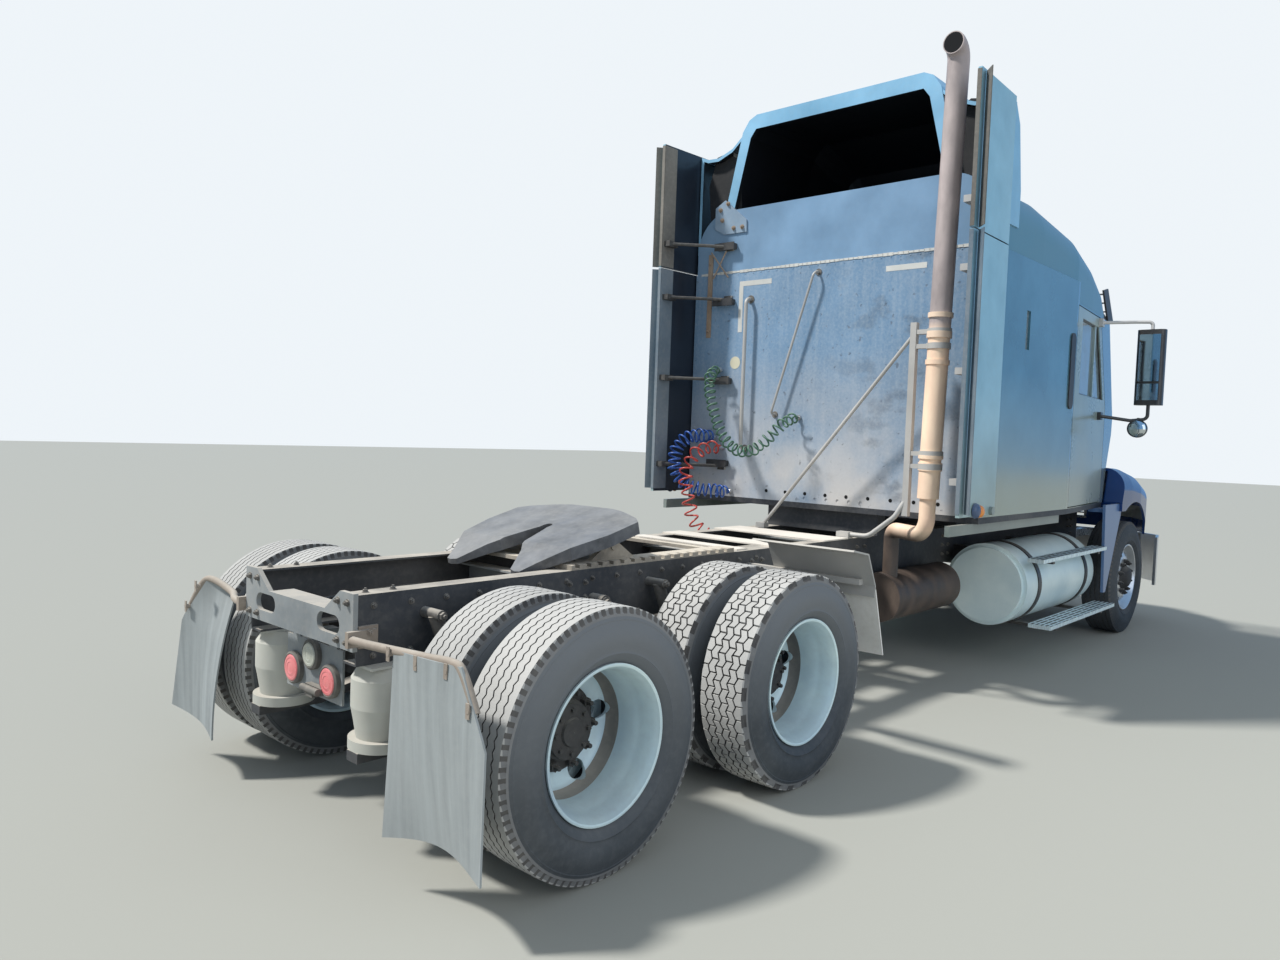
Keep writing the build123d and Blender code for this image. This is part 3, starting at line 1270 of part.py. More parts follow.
# Routes of the curly lines, chosen by hand, from their fittings on the wall: green, blue, red
GREEN_ROUTE = ((3292, 900, 2160), (3180, 890, 2150), (3090, 850, 2030), (3060, 760, 1800), (3060, 640, 1590),
               (3050, 450, 1520), (3050, 290, 1610), (3090, 190, 1740), (3200, 170, 1790), (3292, 170, 1800))
BLUE_ROUTE = ((3292, 930, 1640), (3180, 940, 1650), (3060, 1000, 1640), (2990, 1050, 1560), (2960, 1056, 1440),
              (2990, 1030, 1310), (3060, 930, 1240), (3170, 775, 1230), (3288, 760, 1230))
RED_ROUTE = ((3292, 850, 1560), (3150, 870, 1570), (3000, 900, 1500), (2940, 930, 1360), (2940, 880, 1190),
             (2960, 860, 1030), (3000, 790, 920), (3040, 660, 890), (3040, 540, 896), (3040, 440, 900))
COIL_R = 38


def hose(route):
    """Outer form of a curly line: runs joined by arcs as large as the runs allow."""
    points = [Vector(*p) for p in route]
    bends = []
    for i in range(1, len(points) - 1):
        before = points[i] - points[i - 1]
        after = points[i + 1] - points[i]
        turn = math.radians(before.get_angle(after))
        bends.append(0.45 * min(before.length, after.length) / math.tan(turn / 2))
    return bent_tube(route, bends, COIL_R)


def make_wheels():
    names = {0: "rear", 1: "front"}
    for i, x in enumerate(DRIVE_AXLES_X):
        tyres = [tyre(x, DUAL_MID_Y - DUAL_PITCH / 2), tyre(x, DUAL_MID_Y + DUAL_PITCH / 2)]
        rim = [dual_rim(x)]
        for side in ("left", "right"):
            place = f"{names[i]}_{side}"
            save(f"drive_tyres_{place}", tyres if side == "left" else mirrored(tyres))
            save(f"drive_rims_{place}", rim if side == "left" else mirrored(rim))
    steer_tyre = [tyre(STEER_AXLE_X, STEER_TYRE_Y)]
    rim = [steer_rim(STEER_AXLE_X)]
    for side in ("left", "right"):
        save(f"steer_tyre_{side}", steer_tyre if side == "left" else mirrored(steer_tyre))
        save(f"steer_rim_{side}", rim if side == "left" else mirrored(rim))


def make_sided(name, shapes):
    """One node on each side of the truck."""
    save(f"{name}_left", shapes)
    save(f"{name}_right", mirrored(shapes))


def main():
    os.makedirs("parts", exist_ok=True)
    make_wheels()
    make_sided("knuckle", [knuckle()])
    make_sided("door", [door()])
    make_sided("door_glass", door_glass())
    make_sided("mirror", mirror_and_arms())
    hood, grille, lamps = hood_parts()
    save("hood", [hood])
    save("grille", [grille])
    save("headlamps", lamps)
    save("frame_rails", frame_rails())
    save("crossmembers", crossmembers() + [end_plate(), lamp_panel()])
    save("lamps", tail_lamps() + marker_lamps())
    save("flap_hangers", flap_hangers())
    save("mud_flaps", mud_flaps())
    save("quarter_fenders", quarter_fenders())
    save("fifth_wheel_base", fifth_wheel_base())
    save("fifth_wheel_plate", fifth_wheel_plate())
    save("deck_plates", deck_plates())
    save("air_springs", air_springs())
    save("suspension", suspension_arms() + steer_springs())
    save("driveline", drive_axles() + prop_shafts())
    save("steer_axle", steer_axle())
    save("tie_rod", tie_rod())
    save("engine", engine())
    save("fuel_tanks", fuel_tanks())
    save("tank_brackets", tank_brackets())
    save("steps", steps())
    save("exhaust", exhaust())
    save("back_wall_brackets", back_wall_brackets())
    save("cab_floor", cab_floor())
    save("cab_back_wall", cab_back_wall())
    save("cab_sides", cab_sides())
    save("cab_roof", cab_roof())
    save("cab_front", cab_front())
    save("cab_glass", cab_glass())
    save("roof_fairing", roof_fairing())
    save("side_extenders", side_extenders())
    save("skirts", skirts())
    save("sun_visor", sun_visor())
    save("dashboard", interior())
    save("seats", seats())
    save("bumper", bumper())
    for name, route in (("green", GREEN_ROUTE), ("blue", BLUE_ROUTE), ("red", RED_ROUTE)):
        save(f"hose_{name}", [hose(route)])


main()
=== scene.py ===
import math
import random

import bmesh
import bpy
from mathutils import Matrix, Vector


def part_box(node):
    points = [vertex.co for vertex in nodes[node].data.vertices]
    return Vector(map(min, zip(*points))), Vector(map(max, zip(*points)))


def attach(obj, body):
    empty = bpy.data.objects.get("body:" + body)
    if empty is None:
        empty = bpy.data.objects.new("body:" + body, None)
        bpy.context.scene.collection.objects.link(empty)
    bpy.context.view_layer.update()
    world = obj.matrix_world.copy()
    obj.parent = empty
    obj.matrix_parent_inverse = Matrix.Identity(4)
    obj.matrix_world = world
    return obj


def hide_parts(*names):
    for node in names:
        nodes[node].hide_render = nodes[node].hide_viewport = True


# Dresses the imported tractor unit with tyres, wheels, finishes, lines, bolts and trim.
# Metres, in the part's frame. at(x, y, z) takes places measured from the rearmost axle.

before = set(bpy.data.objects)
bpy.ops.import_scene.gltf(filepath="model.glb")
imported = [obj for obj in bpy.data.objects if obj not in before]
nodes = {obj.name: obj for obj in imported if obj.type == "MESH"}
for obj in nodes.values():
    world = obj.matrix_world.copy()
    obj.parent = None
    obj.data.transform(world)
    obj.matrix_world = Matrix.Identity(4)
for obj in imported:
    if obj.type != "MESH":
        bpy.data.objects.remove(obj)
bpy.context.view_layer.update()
random.seed(11)

REAR_AXLE = 0.5 * (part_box("drive_rims_rear_left")[0][0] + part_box("drive_rims_rear_left")[1][0])
SIDES = {"left": 1, "right": -1}
REARWARD = Vector((-1, 0, 0))
UPWARD = Vector((0, 0, 1))

# Driving sizes of the part
TANDEM_SPREAD = 1.320
STEER_AXLE_X = 6.768
AXLE_Z = 0.505
TYRE_R = 0.505
DUAL_MID_Y = 0.915
DUAL_PITCH = 0.344
STEER_TYRE_Y = 1.035
RAIL_Y = 0.432
RAIL_TOP = 1.000
WALL_X = 3.300
CAB_HALF_W = 1.175
SEAM_Z = 2.900
STACK_X = 3.100
STACK_LINE = (0.926, 1.150, 0.985, 4.010)
MIRROR_Y = 1.305
FLAP_X = -0.630
LAMP_X = -0.505

# Camera fitted to the photograph: place from the rearmost axle, angles in degrees
CAMERA_PLACE = (-2.377, -3.484, 1.632)
CAMERA_YAW = 42.42
CAMERA_PITCH = -2.78
CAMERA_ROLL = 2.05
FOCAL_PIXELS = 920.6
IMAGE_WIDTH = 1280
SENSOR_WIDTH = 36.0


def at(x, y, z):
    return Vector((REAR_AXLE + x, y, z))


def on_wall(y, z, out=0.0):
    """Place on the cab's rear wall, or that far behind it."""
    return at(WALL_X - out, y, z)


def stack_y(z):
    """Place of the leaning exhaust stack's middle line at a height, right side."""
    y0, z0, y1, z1 = STACK_LINE
    return -(y0 + (y1 - y0) * (z - z0) / (z1 - z0))


def steps(start, pitch, count):
    """Evenly spaced numbers."""
    return [start + pitch * i for i in range(count)]


def around(count, start=0.0):
    """Angles of evenly spaced places on a circle; start is the first one's share of a step."""
    return [2 * math.pi * (i + start) / count for i in range(count)]


def about_axle(axle, y, radius, angle):
    """Place on a circle about an axle line."""
    return Vector((axle.x + radius * math.sin(angle), y, axle.z + radius * math.cos(angle)))


def facing_rear(centre, x, radius, angle):
    """Place on a circle that faces the rear, x measured from the rearmost axle."""
    return Vector((REAR_AXLE + x, centre.y + radius * math.cos(angle), centre.z + radius * math.sin(angle)))


def placed(name, data):
    """New object in the scene."""
    made = bpy.data.objects.new(name, data)
    bpy.context.scene.collection.objects.link(made)
    return made


# Node trees

finishes = {}


class Tree:
    """A node tree and short ways to build it."""

    def __init__(self, tree):
        self.tree = tree

    def feed(self, socket, value):
        """Links another socket to this one, or sets its value; a colour is given as three numbers."""
        if isinstance(value, bpy.types.NodeSocket):
            self.tree.links.new(value, socket)
        else:
            socket.default_value = (*value, 1.0) if socket.type == "RGBA" else value

    def node(self, kind, inputs, **values):
        made = self.tree.nodes.new("ShaderNode" + kind)
        for key, value in values.items():
            setattr(made, key, value)
        for key, value in inputs.items():
            self.feed(made.inputs[key], value)
        return made


class Finish(Tree):
    """One material, kept in finishes under its name."""

    def __init__(self, name):
        finishes[name] = bpy.data.materials.new(name)
        finishes[name].use_nodes = True
        super().__init__(finishes[name].node_tree)
        self.shader = self.tree.nodes["Principled BSDF"]
        self.coords = self.tree.nodes.new("ShaderNodeTexCoord").outputs

    def noise(self, scale, detail, stretch=(1, 1, 1)):
        mapping = self.node("Mapping", {"Vector": self.coords["Object"], "Scale": stretch})
        inputs = {"Vector": mapping.outputs["Vector"], "Scale": scale, "Detail": detail, "Roughness": 0.55}
        return self.node("TexNoise", inputs).outputs["Fac"]

    def spread(self, value, low, high, to_low=0.0, to_high=1.0):
        inputs = {"Value": value, "From Min": low, "From Max": high, "To Min": to_low, "To Max": to_high}
        return self.node("MapRange", inputs).outputs["Result"]

    def product(self, a, b):
        return self.node("Math", {0: a, 1: b}, operation="MULTIPLY").outputs[0]

    def total(self, a, b):
        return self.node("Math", {0: a, 1: b}, operation="ADD", use_clamp=True).outputs[0]

    def sine(self, value, wave):
        """Sine of a place, with the length of one wave."""
        return self.node("Math", {0: self.product(value, 2 * math.pi / wave)}, operation="SINE").outputs[0]

    def mix(self, factor, a, b):
        return self.node("Mix", {0: factor, 6: a, 7: b}, data_type="RGBA").outputs[2]

    def place(self, axis, kind="Object"):
        return self.node("SeparateXYZ", {"Vector": self.coords[kind]}).outputs[axis]

    def upward(self, low=0.4, high=0.95):
        """1 where the surface looks up, 0 where it doesn't."""
        return self.spread(self.place("Z", "Normal"), low, high)

    def along(self, axis, low, high):
        """0 at the low place and 1 at the high one, along X, Y or Z."""
        return self.spread(self.place(axis), low, high)

    def outward(self, centre):
        """1 where the surface looks away from the centre, 0 where it looks towards it."""
        arm = self.node("VectorMath", {0: self.coords["Object"], 1: tuple(centre)}, operation="SUBTRACT")
        pair = {0: arm.outputs["Vector"], 1: self.coords["Normal"]}
        facing = self.node("VectorMath", pair, operation="DOT_PRODUCT")
        return self.spread(facing.outputs["Value"], -0.02, 0.02)

    def set(self, **values):
        for key, value in values.items():
            self.feed(self.shader.inputs[key.replace("_", " ")], value)

    def bump(self, height, strength, distance):
        made = self.node("Bump", {"Height": height, "Strength": strength, "Distance": distance})
        self.set(Normal=made.outputs["Normal"])


def tinted(colour, factor):
    return tuple(min(1.0, c * factor) for c in colour)


def grey(value):
    return (value, value, value)


def coated(name, colour, roughness, film, settled=0.5, metallic=0.0, vary=0.2, coat=0.0, grain=0.1,
           dust=(0.50, 0.46, 0.40), inner=None, part=None, wash=None, patch=(2.2, (1, 1, 1))):
    """Painted or moulded surface: colour that varies, a thin dust film and dust settled on what looks up.

    inner is (colour, centre), a painted shade for what looks towards the centre.
    part is (axis, place, colour), the colour beyond that place.
    wash is (axis, start, end, colour, most), painted light that grows from one place to the other.
    patch is the scale and the stretch of the colour's variation.
    """
    f = Finish(name)
    patches = f.spread(f.noise(patch[0], 5, patch[1]), 0.3, 0.7)
    base = f.mix(patches, tinted(colour, 1 - vary), tinted(colour, 1 + vary))
    speckle = f.spread(f.noise(38, 6), 0.45, 0.75)
    cloud = f.spread(f.noise(1.1, 3), 0.35, 0.75)
    thin = f.product(f.total(f.product(speckle, 0.4), cloud), film)
    lying = f.product(f.upward(), f.spread(f.noise(9, 5), 0.2, 0.7, settled * 0.45, settled))
    amount = f.total(thin, lying)
    if part:
        axis, place, other = part
        base = f.mix(f.along(axis, place - 0.002, place + 0.002), base, other)
    if wash:
        axis, start, end, other, most = wash
        base = f.mix(f.product(f.along(axis, start, end), most), base, other)
    shown = f.mix(amount, base, dust)
    # Faces that look towards the centre get a painted shade.
    if inner:
        shown = f.mix(f.outward(inner[1]), inner[0], shown)
    f.set(Base_Color=shown, Metallic=metallic, Coat_Weight=coat, Coat_Roughness=0.12)
    f.set(Roughness=f.spread(amount, 0.0, 0.6, roughness, min(0.9, roughness + 0.4)))
    f.bump(f.noise(140, 3), grain, 0.002)


def wall_finish():
    """Dusty rear wall: streaks that run down, pale dirt towards the foot, dark stains, and dark patches that grow
    towards the right side.
    """
    f = Finish("wall")
    streaks = f.spread(f.noise(5.5, 6, (1, 5.0, 0.28)), 0.42, 0.72)
    fine = f.spread(f.noise(60, 5), 0.4, 0.8)
    clouds = f.spread(f.noise(1.4, 4), 0.3, 0.7)
    base = f.mix(clouds, (0.125, 0.225, 0.35), (0.18, 0.31, 0.475))
    pale = f.mix(f.product(streaks, 0.16), base, (0.44, 0.52, 0.60))
    low = f.product(f.product(f.along("Z", 2.3, 1.2), 0.85), f.spread(f.noise(2.2, 5), 0.2, 0.6))
    dirty = f.mix(low, pale, (0.60, 0.56, 0.52))
    spots = f.spread(f.noise(22, 2), 0.66, 0.72)
    # Dark patches that grow towards the right side of the wall.
    right_dark_patches = f.product(f.spread(f.noise(3.4, 6, (1, 1, 1.6)), 0.56, 0.66), f.along("Y", 0.1, -0.6))
    darkened_right = f.mix(f.product(right_dark_patches, 0.45), dirty, (0.06, 0.075, 0.095))
    stained = f.mix(f.product(spots, 0.5), darkened_right, (0.03, 0.035, 0.045))
    f.set(Base_Color=f.mix(f.product(fine, 0.22), stained, (0.6, 0.62, 0.64)))
    f.set(Roughness=f.spread(streaks, 0.0, 1.0, 0.42, 0.68))
    f.bump(f.noise(2.3, 3), 0.12, 0.01)


def glass_finish():
    """Window pane with a little dust."""
    f = Finish("glass")
    smudge = f.spread(f.noise(6, 4), 0.45, 0.8)
    f.set(Base_Color=f.mix(f.product(smudge, 0.25), (0.55, 0.68, 0.74), (0.7, 0.72, 0.72)))
    f.set(Roughness=f.spread(smudge, 0.0, 1.0, 0.02, 0.2), Transmission_Weight=0.75, IOR=1.45)


def mirror_finish():
    """Silvered glass with a little dust."""
    f = Finish("mirror")
    smudge = f.spread(f.noise(5, 4), 0.5, 0.8)
    f.set(Base_Color=f.mix(f.product(smudge, 0.2), (0.55, 0.60, 0.62), (0.6, 0.6, 0.58)), Metallic=1.0)
    f.set(Roughness=f.spread(smudge, 0.0, 1.0, 0.04, 0.2))


def step_finish():
    """Metal sheet with rows of long slots, seen from above; the dark in the slots is painted shade."""
    pitch = 0.034
    # The sheet's blue tint is a painted reflection of the sky.
    metal = (0.74, 0.90, 0.98)
    f = Finish("step")
    rows = f.spread(f.sine(f.place("Y"), pitch), -0.1, 0.2)
    ends = f.spread(f.sine(f.place("X"), 5 * pitch), 0.93, 0.86)
    slot = f.product(rows, ends)
    scratch = f.spread(f.noise(30, 5, (1, 8, 1)), 0.4, 0.7)
    sheet = f.mix(scratch, tinted(metal, 0.8), tinted(metal, 1.15))
    # Painted shade in the slots, only on faces that look up.
    dark = f.product(slot, f.upward(0.7, 0.9))
    f.set(Base_Color=f.mix(dark, sheet, (0.01, 0.01, 0.012)), Metallic=0.2, Roughness=0.45)
    f.bump(f.product(slot, -1.0), 0.5, 0.004)


def stack_finish():
    """Pipe that changes colour at one height, with heat stains, and is rusty below another."""
    upper = (0.43, 0.37, 0.365)
    lower = (1.0, 0.71, 0.53)
    f = Finish("stack")
    stain = f.spread(f.noise(7, 5, (1, 1, 0.4)), 0.35, 0.7)
    top = f.mix(stain, tinted(upper, 0.75), tinted(upper, 1.2))
    low = f.mix(stain, tinted(lower, 0.85), tinted(lower, 1.1))
    banded = f.mix(f.along("Z", 2.32, 2.40), low, top)
    rusty = f.mix(stain, (0.045, 0.035, 0.030), (0.13, 0.095, 0.075))
    f.set(Base_Color=f.mix(f.along("Z", 1.02, 1.10), rusty, banded))
    f.set(Roughness=f.spread(stain, 0.0, 1.0, 0.45, 0.7))
    f.bump(f.noise(70, 3), 0.1, 0.003)


CAB_BLUE = (0.068, 0.205, 0.290)
GREY_GREEN = (0.32, 0.36, 0.29)
AMBER = (0.75, 0.26, 0.04)
BLACK = (0.018, 0.018, 0.020)
TYRE_BLACK = (0.032, 0.040, 0.048)


def make_paints():
    """Painted panels; the washes stand in for bright ground that the glossy paint mirrors."""
    coated("cab", CAB_BLUE, 0.2, 0.05, 0.3, metallic=0.25, coat=0.7, grain=0.02,
           wash=("Z", 2.15, 1.35, GREY_GREEN, 0.75))
    coated("roof", (0.178, 0.31, 0.475), 0.3, 0.07, 0.3, coat=0.2, grain=0.02,
           part=("X", REAR_AXLE + WALL_X + 0.02, CAB_BLUE))
    coated("skirt", (0.16, 0.20, 0.19), 0.3, 0.2, 0.4, coat=0.3, grain=0.02,
           part=("X", REAR_AXLE + 5.90, (0.07, 0.17, 0.38)))
    coated("door", (0.27, 0.37, 0.37), 0.25, 0.2, 0.4, metallic=0.1, coat=0.3, grain=0.02,
           wash=("Z", 2.1, 1.35, (0.30, 0.35, 0.31), 0.7))
    coated("hood", (0.006, 0.045, 0.20), 0.2, 0.02, 0.15, metallic=0.1, coat=0.25, grain=0.02)
    # The fairing's and the extenders' inner colours are painted shade on the faces that look inwards.
    coated("fairing", (0.21, 0.47, 0.70), 0.35, 0.12, 0.4, coat=0.2,
           inner=((0.006, 0.007, 0.010), at(3.90, 0.0, 3.45)))
    coated("extender", (0.25, 0.48, 0.62), 0.3, 0.12, coat=0.2, wash=("Z", 2.0, 1.2, GREY_GREEN, 0.6),
           inner=((0.012, 0.018, 0.030), at(3.19, 0.0, 2.5)))
    coated("corner", (0.20, 0.32, 0.46), 0.4, 0.2, 0.3)
    coated("frame", (0.027, 0.031, 0.038), 0.6, 0.16, 0.95, vary=0.3)
    coated("plate", (0.23, 0.255, 0.27), 0.6, 0.35, 0.8, vary=0.3)
    # The rim's strong blue tint is a painted reflection of the sky.
    coated("rim", (0.62, 0.84, 1.0), 0.3, 0.25, 0.3, metallic=0.1, vary=0.3, dust=(0.38, 0.40, 0.42))


def make_metals():
    coated("slide", (0.24, 0.22, 0.19), 0.7, 0.6, 0.9, vary=0.3, dust=(0.60, 0.54, 0.45))
    coated("steel", (0.10, 0.095, 0.09), 0.6, 0.5, 0.8, metallic=0.4, vary=0.35)
    coated("coupling", (0.085, 0.09, 0.10), 0.45, 0.35, 0.36, metallic=0.2, vary=0.6,
           dust=(0.40, 0.40, 0.39), patch=(7.0, (1, 1, 1)))
    coated("deck", (0.68, 0.64, 0.575), 0.7, 0.3, 0.4, dust=(0.70, 0.65, 0.58))
    # Painted shade for the crease between each wheel's rim and its dish.
    coated("rim_crease_shade", (0.14, 0.14, 0.135), 0.7, 0.3, 0.4, metallic=0.1)
    coated("hub", (0.022, 0.022, 0.024), 0.75, 0.10, 0.3, metallic=0.1, grain=0.4)
    coated("alloy", (0.62, 0.63, 0.64), 0.28, 0.15, 0.2, metallic=0.8)
    # The tank's blue tint and bluish dust are a painted reflection of the sky.
    coated("tank", (0.72, 0.93, 1.0), 0.34, 0.08, 0.25, dust=(0.58, 0.66, 0.70))
    coated("bright", grey(0.70), 0.25, 0.15, 0.2, metallic=0.9)
    coated("bracket", (0.46, 0.45, 0.43), 0.5, 0.3, metallic=0.3, part=("Y", 0.82, (0.012, 0.013, 0.016)))
    coated("band", (0.78, 0.60, 0.46), 0.6, 0.2, 0.3)
    coated("hanger", (0.26, 0.21, 0.17), 0.7, 0.5, 0.6, metallic=0.2)
    coated("rust", (0.26, 0.17, 0.11), 0.85, 0.4, 0.4, metallic=0.1)
    coated("engine", (0.08, 0.08, 0.085), 0.7, 0.4, metallic=0.3)


def make_rubbers():
    coated("tread", (0.40, 0.405, 0.40), 0.92, 0.4, 0.4, grain=0.5, dust=(0.50, 0.49, 0.47))
    coated("groove", (0.060, 0.060, 0.062), 0.9, 0.15, 0.2)
    coated("shoulder", (0.15, 0.155, 0.16), 0.85, 0.4, 0.4, grain=0.5, dust=grey(0.34))
    # The sidewalls grow paler towards the top: painted light from the sky.
    coated("sidewall", TYRE_BLACK, 0.6, 0.35, 0.3, grain=0.3, dust=(0.2, 0.21, 0.22),
           wash=("Z", 0.35, 0.90, (0.19, 0.205, 0.22), 0.75))
    coated("steer_tread", TYRE_BLACK, 0.8, 0.2, 0.3, grain=0.4, dust=grey(0.26))
    coated("flap", (0.265, 0.295, 0.305), 0.75, 0.3, 0.4, vary=0.22, dust=(0.42, 0.44, 0.44),
           patch=(5.0, (1, 4, 0.3)))
    coated("pale_flap", (0.92, 0.93, 0.87), 0.75, 0.4, 0.3)
    coated("fender", (0.38, 0.39, 0.39), 0.6, 0.4, 0.6)
    coated("bag", (0.44, 0.455, 0.42), 0.85, 0.4, 0.6)
    coated("rubber", (0.13, 0.125, 0.115), 0.8, 0.3, 0.4)
    coated("edge_strip", (0.12, 0.17, 0.22), 0.5, 0.3, 0.4)


def make_plastics():
    """Plastic, cloth, lenses, tapes, and the painted shade of openings and gaps."""
    # Painted shade for the gaps beside the fairing.
    coated("dark_inside", (0.01, 0.011, 0.014), 0.85, 0.04, 0.1)
    # Painted shade for holes, and for the stack's mouth together with its soot.
    coated("opening_shade", grey(0.002), 0.95, 0.0, 0.0, grain=0.0)
    coated("black", BLACK, 0.35, 0.12, 0.3)
    coated("visor", (0.018, 0.020, 0.026), 0.35, 0.1, 0.3)
    coated("mirror_case", BLACK, 0.3, 0.10, 0.3, part=("Z", 2.656, grey(0.50)))
    # The marker case's blue is a painted reflection of the sky.
    coated("case_sky_reflection", (0.03, 0.07, 0.16), 0.3, 0.1, 0.2)
    coated("red_lens", (0.74, 0.20, 0.21), 0.25, 0.45, 0.2, dust=(0.6, 0.45, 0.42))
    coated("clear_lens", (0.48, 0.50, 0.44), 0.25, 0.4, 0.2)
    coated("amber_lens", AMBER, 0.2, 0.1, 0.1)
    coated("lamp_base", (0.24, 0.30, 0.30), 0.3, 0.1, 0.1, part=("X", REAR_AXLE + 3.8, AMBER))
    coated("tape", (0.62, 0.64, 0.63), 0.5, 0.35, 0.2)
    coated("patch", (0.60, 0.58, 0.44), 0.6, 0.3, 0.2)
    coated("hose_green", (0.03, 0.14, 0.085), 0.35, 0.15, 0.2)
    coated("hose_blue", (0.012, 0.09, 0.40), 0.3, 0.06, 0.1)
    coated("hose_red", (0.50, 0.045, 0.03), 0.3, 0.08, 0.1)
    coated("seat", (0.07, 0.08, 0.10), 0.9, 0.2, grain=0.5)
    coated("dash", (0.05, 0.05, 0.055), 0.6, 0.2, 0.4)


# Mesh building

BOX_FACES = ((0, 1, 3, 2), (4, 6, 7, 5), (0, 4, 5, 1), (2, 3, 7, 6), (0, 2, 6, 4), (1, 5, 7, 3))


def grid_faces(rows, per, ring=False, closed=True):
    """Faces between rows of points; a ring's last row meets its first, a closed row's ends meet."""
    faces = []
    for i in range(rows if ring else rows - 1):
        j = (i + 1) % rows
        for k in range(per if closed else per - 1):
            m = (k + 1) % per
            faces.append((i * per + k, i * per + m, j * per + m, j * per + k))
    return faces


def pipe_faces(rows, per):
    """Faces of a pipe or plate made of rows of points, with both ends closed."""
    ends = [tuple(range(per - 1, -1, -1)), tuple(range((rows - 1) * per, rows * per))]
    return grid_faces(rows, per) + ends


def square_to(ahead, side):
    """Direction square to the way ahead that turns as little as it can from the last one."""
    if side is None:
        side = ahead.orthogonal().normalized()
    return (side - ahead * side.dot(ahead)).normalized()


class Forms:
    """Many small forms gathered into one mesh, each face marked with the number of its finish."""

    def __init__(self):
        self.points = []
        self.faces = []
        self.marks = []

    def add(self, points, faces, mark=0):
        first = len(self.points)
        self.points.extend(Vector(p) for p in points)
        self.faces.extend(tuple(first + i for i in face) for face in faces)
        self.marks.extend([mark] * len(faces) if isinstance(mark, int) else mark)

    def box(self, low, high, mark=0):
        corners = [(x, y, z) for x in (low[0], high[0]) for y in (low[1], high[1]) for z in (low[2], high[2])]
        self.add(corners, BOX_FACES, mark)

    def plate(self, outline, shift, mark=0):
        """Flat plate from the points of one face and the step to the other face."""
        self.add(outline + [p + Vector(shift) for p in outline], pipe_faces(2, len(outline)), mark)

    def rod(self, start, end, radius, sides=12, mark=0, end_radius=None):
        across = (end - start).to_track_quat("Z", "Y").to_matrix()
        points = []
        for centre, r in ((start, radius), (end, radius if end_radius is None else end_radius)):
            for a in around(sides, 0.5):
                points.append(centre + across @ Vector((r * math.cos(a), r * math.sin(a), 0)))
        self.add(points, pipe_faces(2, sides), mark)

    def dome(self, centre, facing, radius, height, sides=10, mark=0):
        """Low round head, as on a rivet or bolt."""
        across = Vector(facing).to_track_quat("Z", "Y").to_matrix()
        points = []
        for share, lift in ((1.0, 0.0), (0.86, 0.6), (0.5, 0.92)):
            r = radius * share
            for a in around(sides):
                points.append(centre + across @ Vector((r * math.cos(a), r * math.sin(a), height * lift)))
        self.add(points, grid_faces(3, sides) + [tuple(range(2 * sides, 3 * sides))], mark)

    def bolt(self, centre, facing, radius, mark=0):
        """Washer, hexagon head and the bolt's round end, stacked."""
        foot = centre
        for height, share, sides in ((0.25, 1.35, 12), (1.1, 1.0, 6), (1.7, 0.5, 8)):
            top = centre + Vector(facing) * radius * height
            self.rod(foot, top, radius * share, sides, mark)
            foot = top

    def tube(self, path, radius, sides):
        """Round tube along a list of points."""
        points = []
        side = None
        for i, p in enumerate(path):
            ahead = (path[min(i + 1, len(path) - 1)] - path[max(i - 1, 0)]).normalized()
            side = square_to(ahead, side)
            other = ahead.cross(side)
            for a in around(sides):
                points.append(p + side * radius * math.cos(a) + other * radius * math.sin(a))
        self.add(points, pipe_faces(len(path), sides))

    def turned(self, circle, centre, profile, rounds, mark=0, closed=True, capped=False):
        """Ring of (place along the axis, radius) points; circle gives a place on a circle about the centre."""
        n = len(profile)
        points = [circle(centre, along, radius, a) for a in around(rounds) for along, radius in profile]
        faces = grid_faces(rounds, n, True, closed)
        if capped:
            faces.append(tuple(i * n + n - 1 for i in range(rounds)))
        self.add(points, faces, mark if isinstance(mark, int) else mark * rounds)

    def mesh(self, name):
        made = bpy.data.meshes.new(name)
        made.from_pydata([tuple(p) for p in self.points], [], self.faces)
        return made

    def finish(self, name, body, slot, *keys, angle=30):
        """Makes the piece, with the finishes of these names in the order of the marks."""
        mesh = self.mesh(name)
        for key in keys:
            mesh.materials.append(finishes[key])
        for polygon, mark in zip(mesh.polygons, self.marks):
            polygon.material_index = mark
        work = bmesh.new()
        work.from_mesh(mesh)
        bmesh.ops.recalc_face_normals(work, faces=work.faces)
        work.to_mesh(mesh)
        work.free()
        mesh.shade_smooth()
        mesh.set_sharp_from_angle(angle=math.radians(angle))
        obj = placed(name, mesh)
        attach(obj, body)
        return obj


def curved(points, per):
    """Points along a smooth line through the given ones."""
    padded = [points[0]] + points + [points[-1]]
    line = []
    for i in range(1, len(padded) - 2):
        a, b, c, d = padded[i - 1:i + 3]
        for t in steps(0.0, 1 / per, per):
            line.append(0.5 * (2 * b + (c - a) * t + (2 * a - 5 * b + 4 * c - d) * t * t
                               + (3 * b - a - 3 * c + d) * t * t * t))
    line.append(points[-1])
    return line


def cut(obj, cutters):
    """Takes the cutters out of the piece, for good."""
    for cutter in cutters:
        modifier = obj.modifiers.new("cut", "BOOLEAN")
        modifier.object = cutter
        modifier.operation = "DIFFERENCE"
        modifier.solver = "EXACT"
    depsgraph = bpy.context.evaluated_depsgraph_get()
    mesh = bpy.data.meshes.new_from_object(obj.evaluated_get(depsgraph))
    obj.modifiers.clear()
    old = obj.data
    obj.data = mesh
    bpy.data.meshes.remove(old)
    for cutter in cutters:
        bpy.data.objects.remove(cutter)


# Wheels: outlines are (place across the truck, radius), on the left side

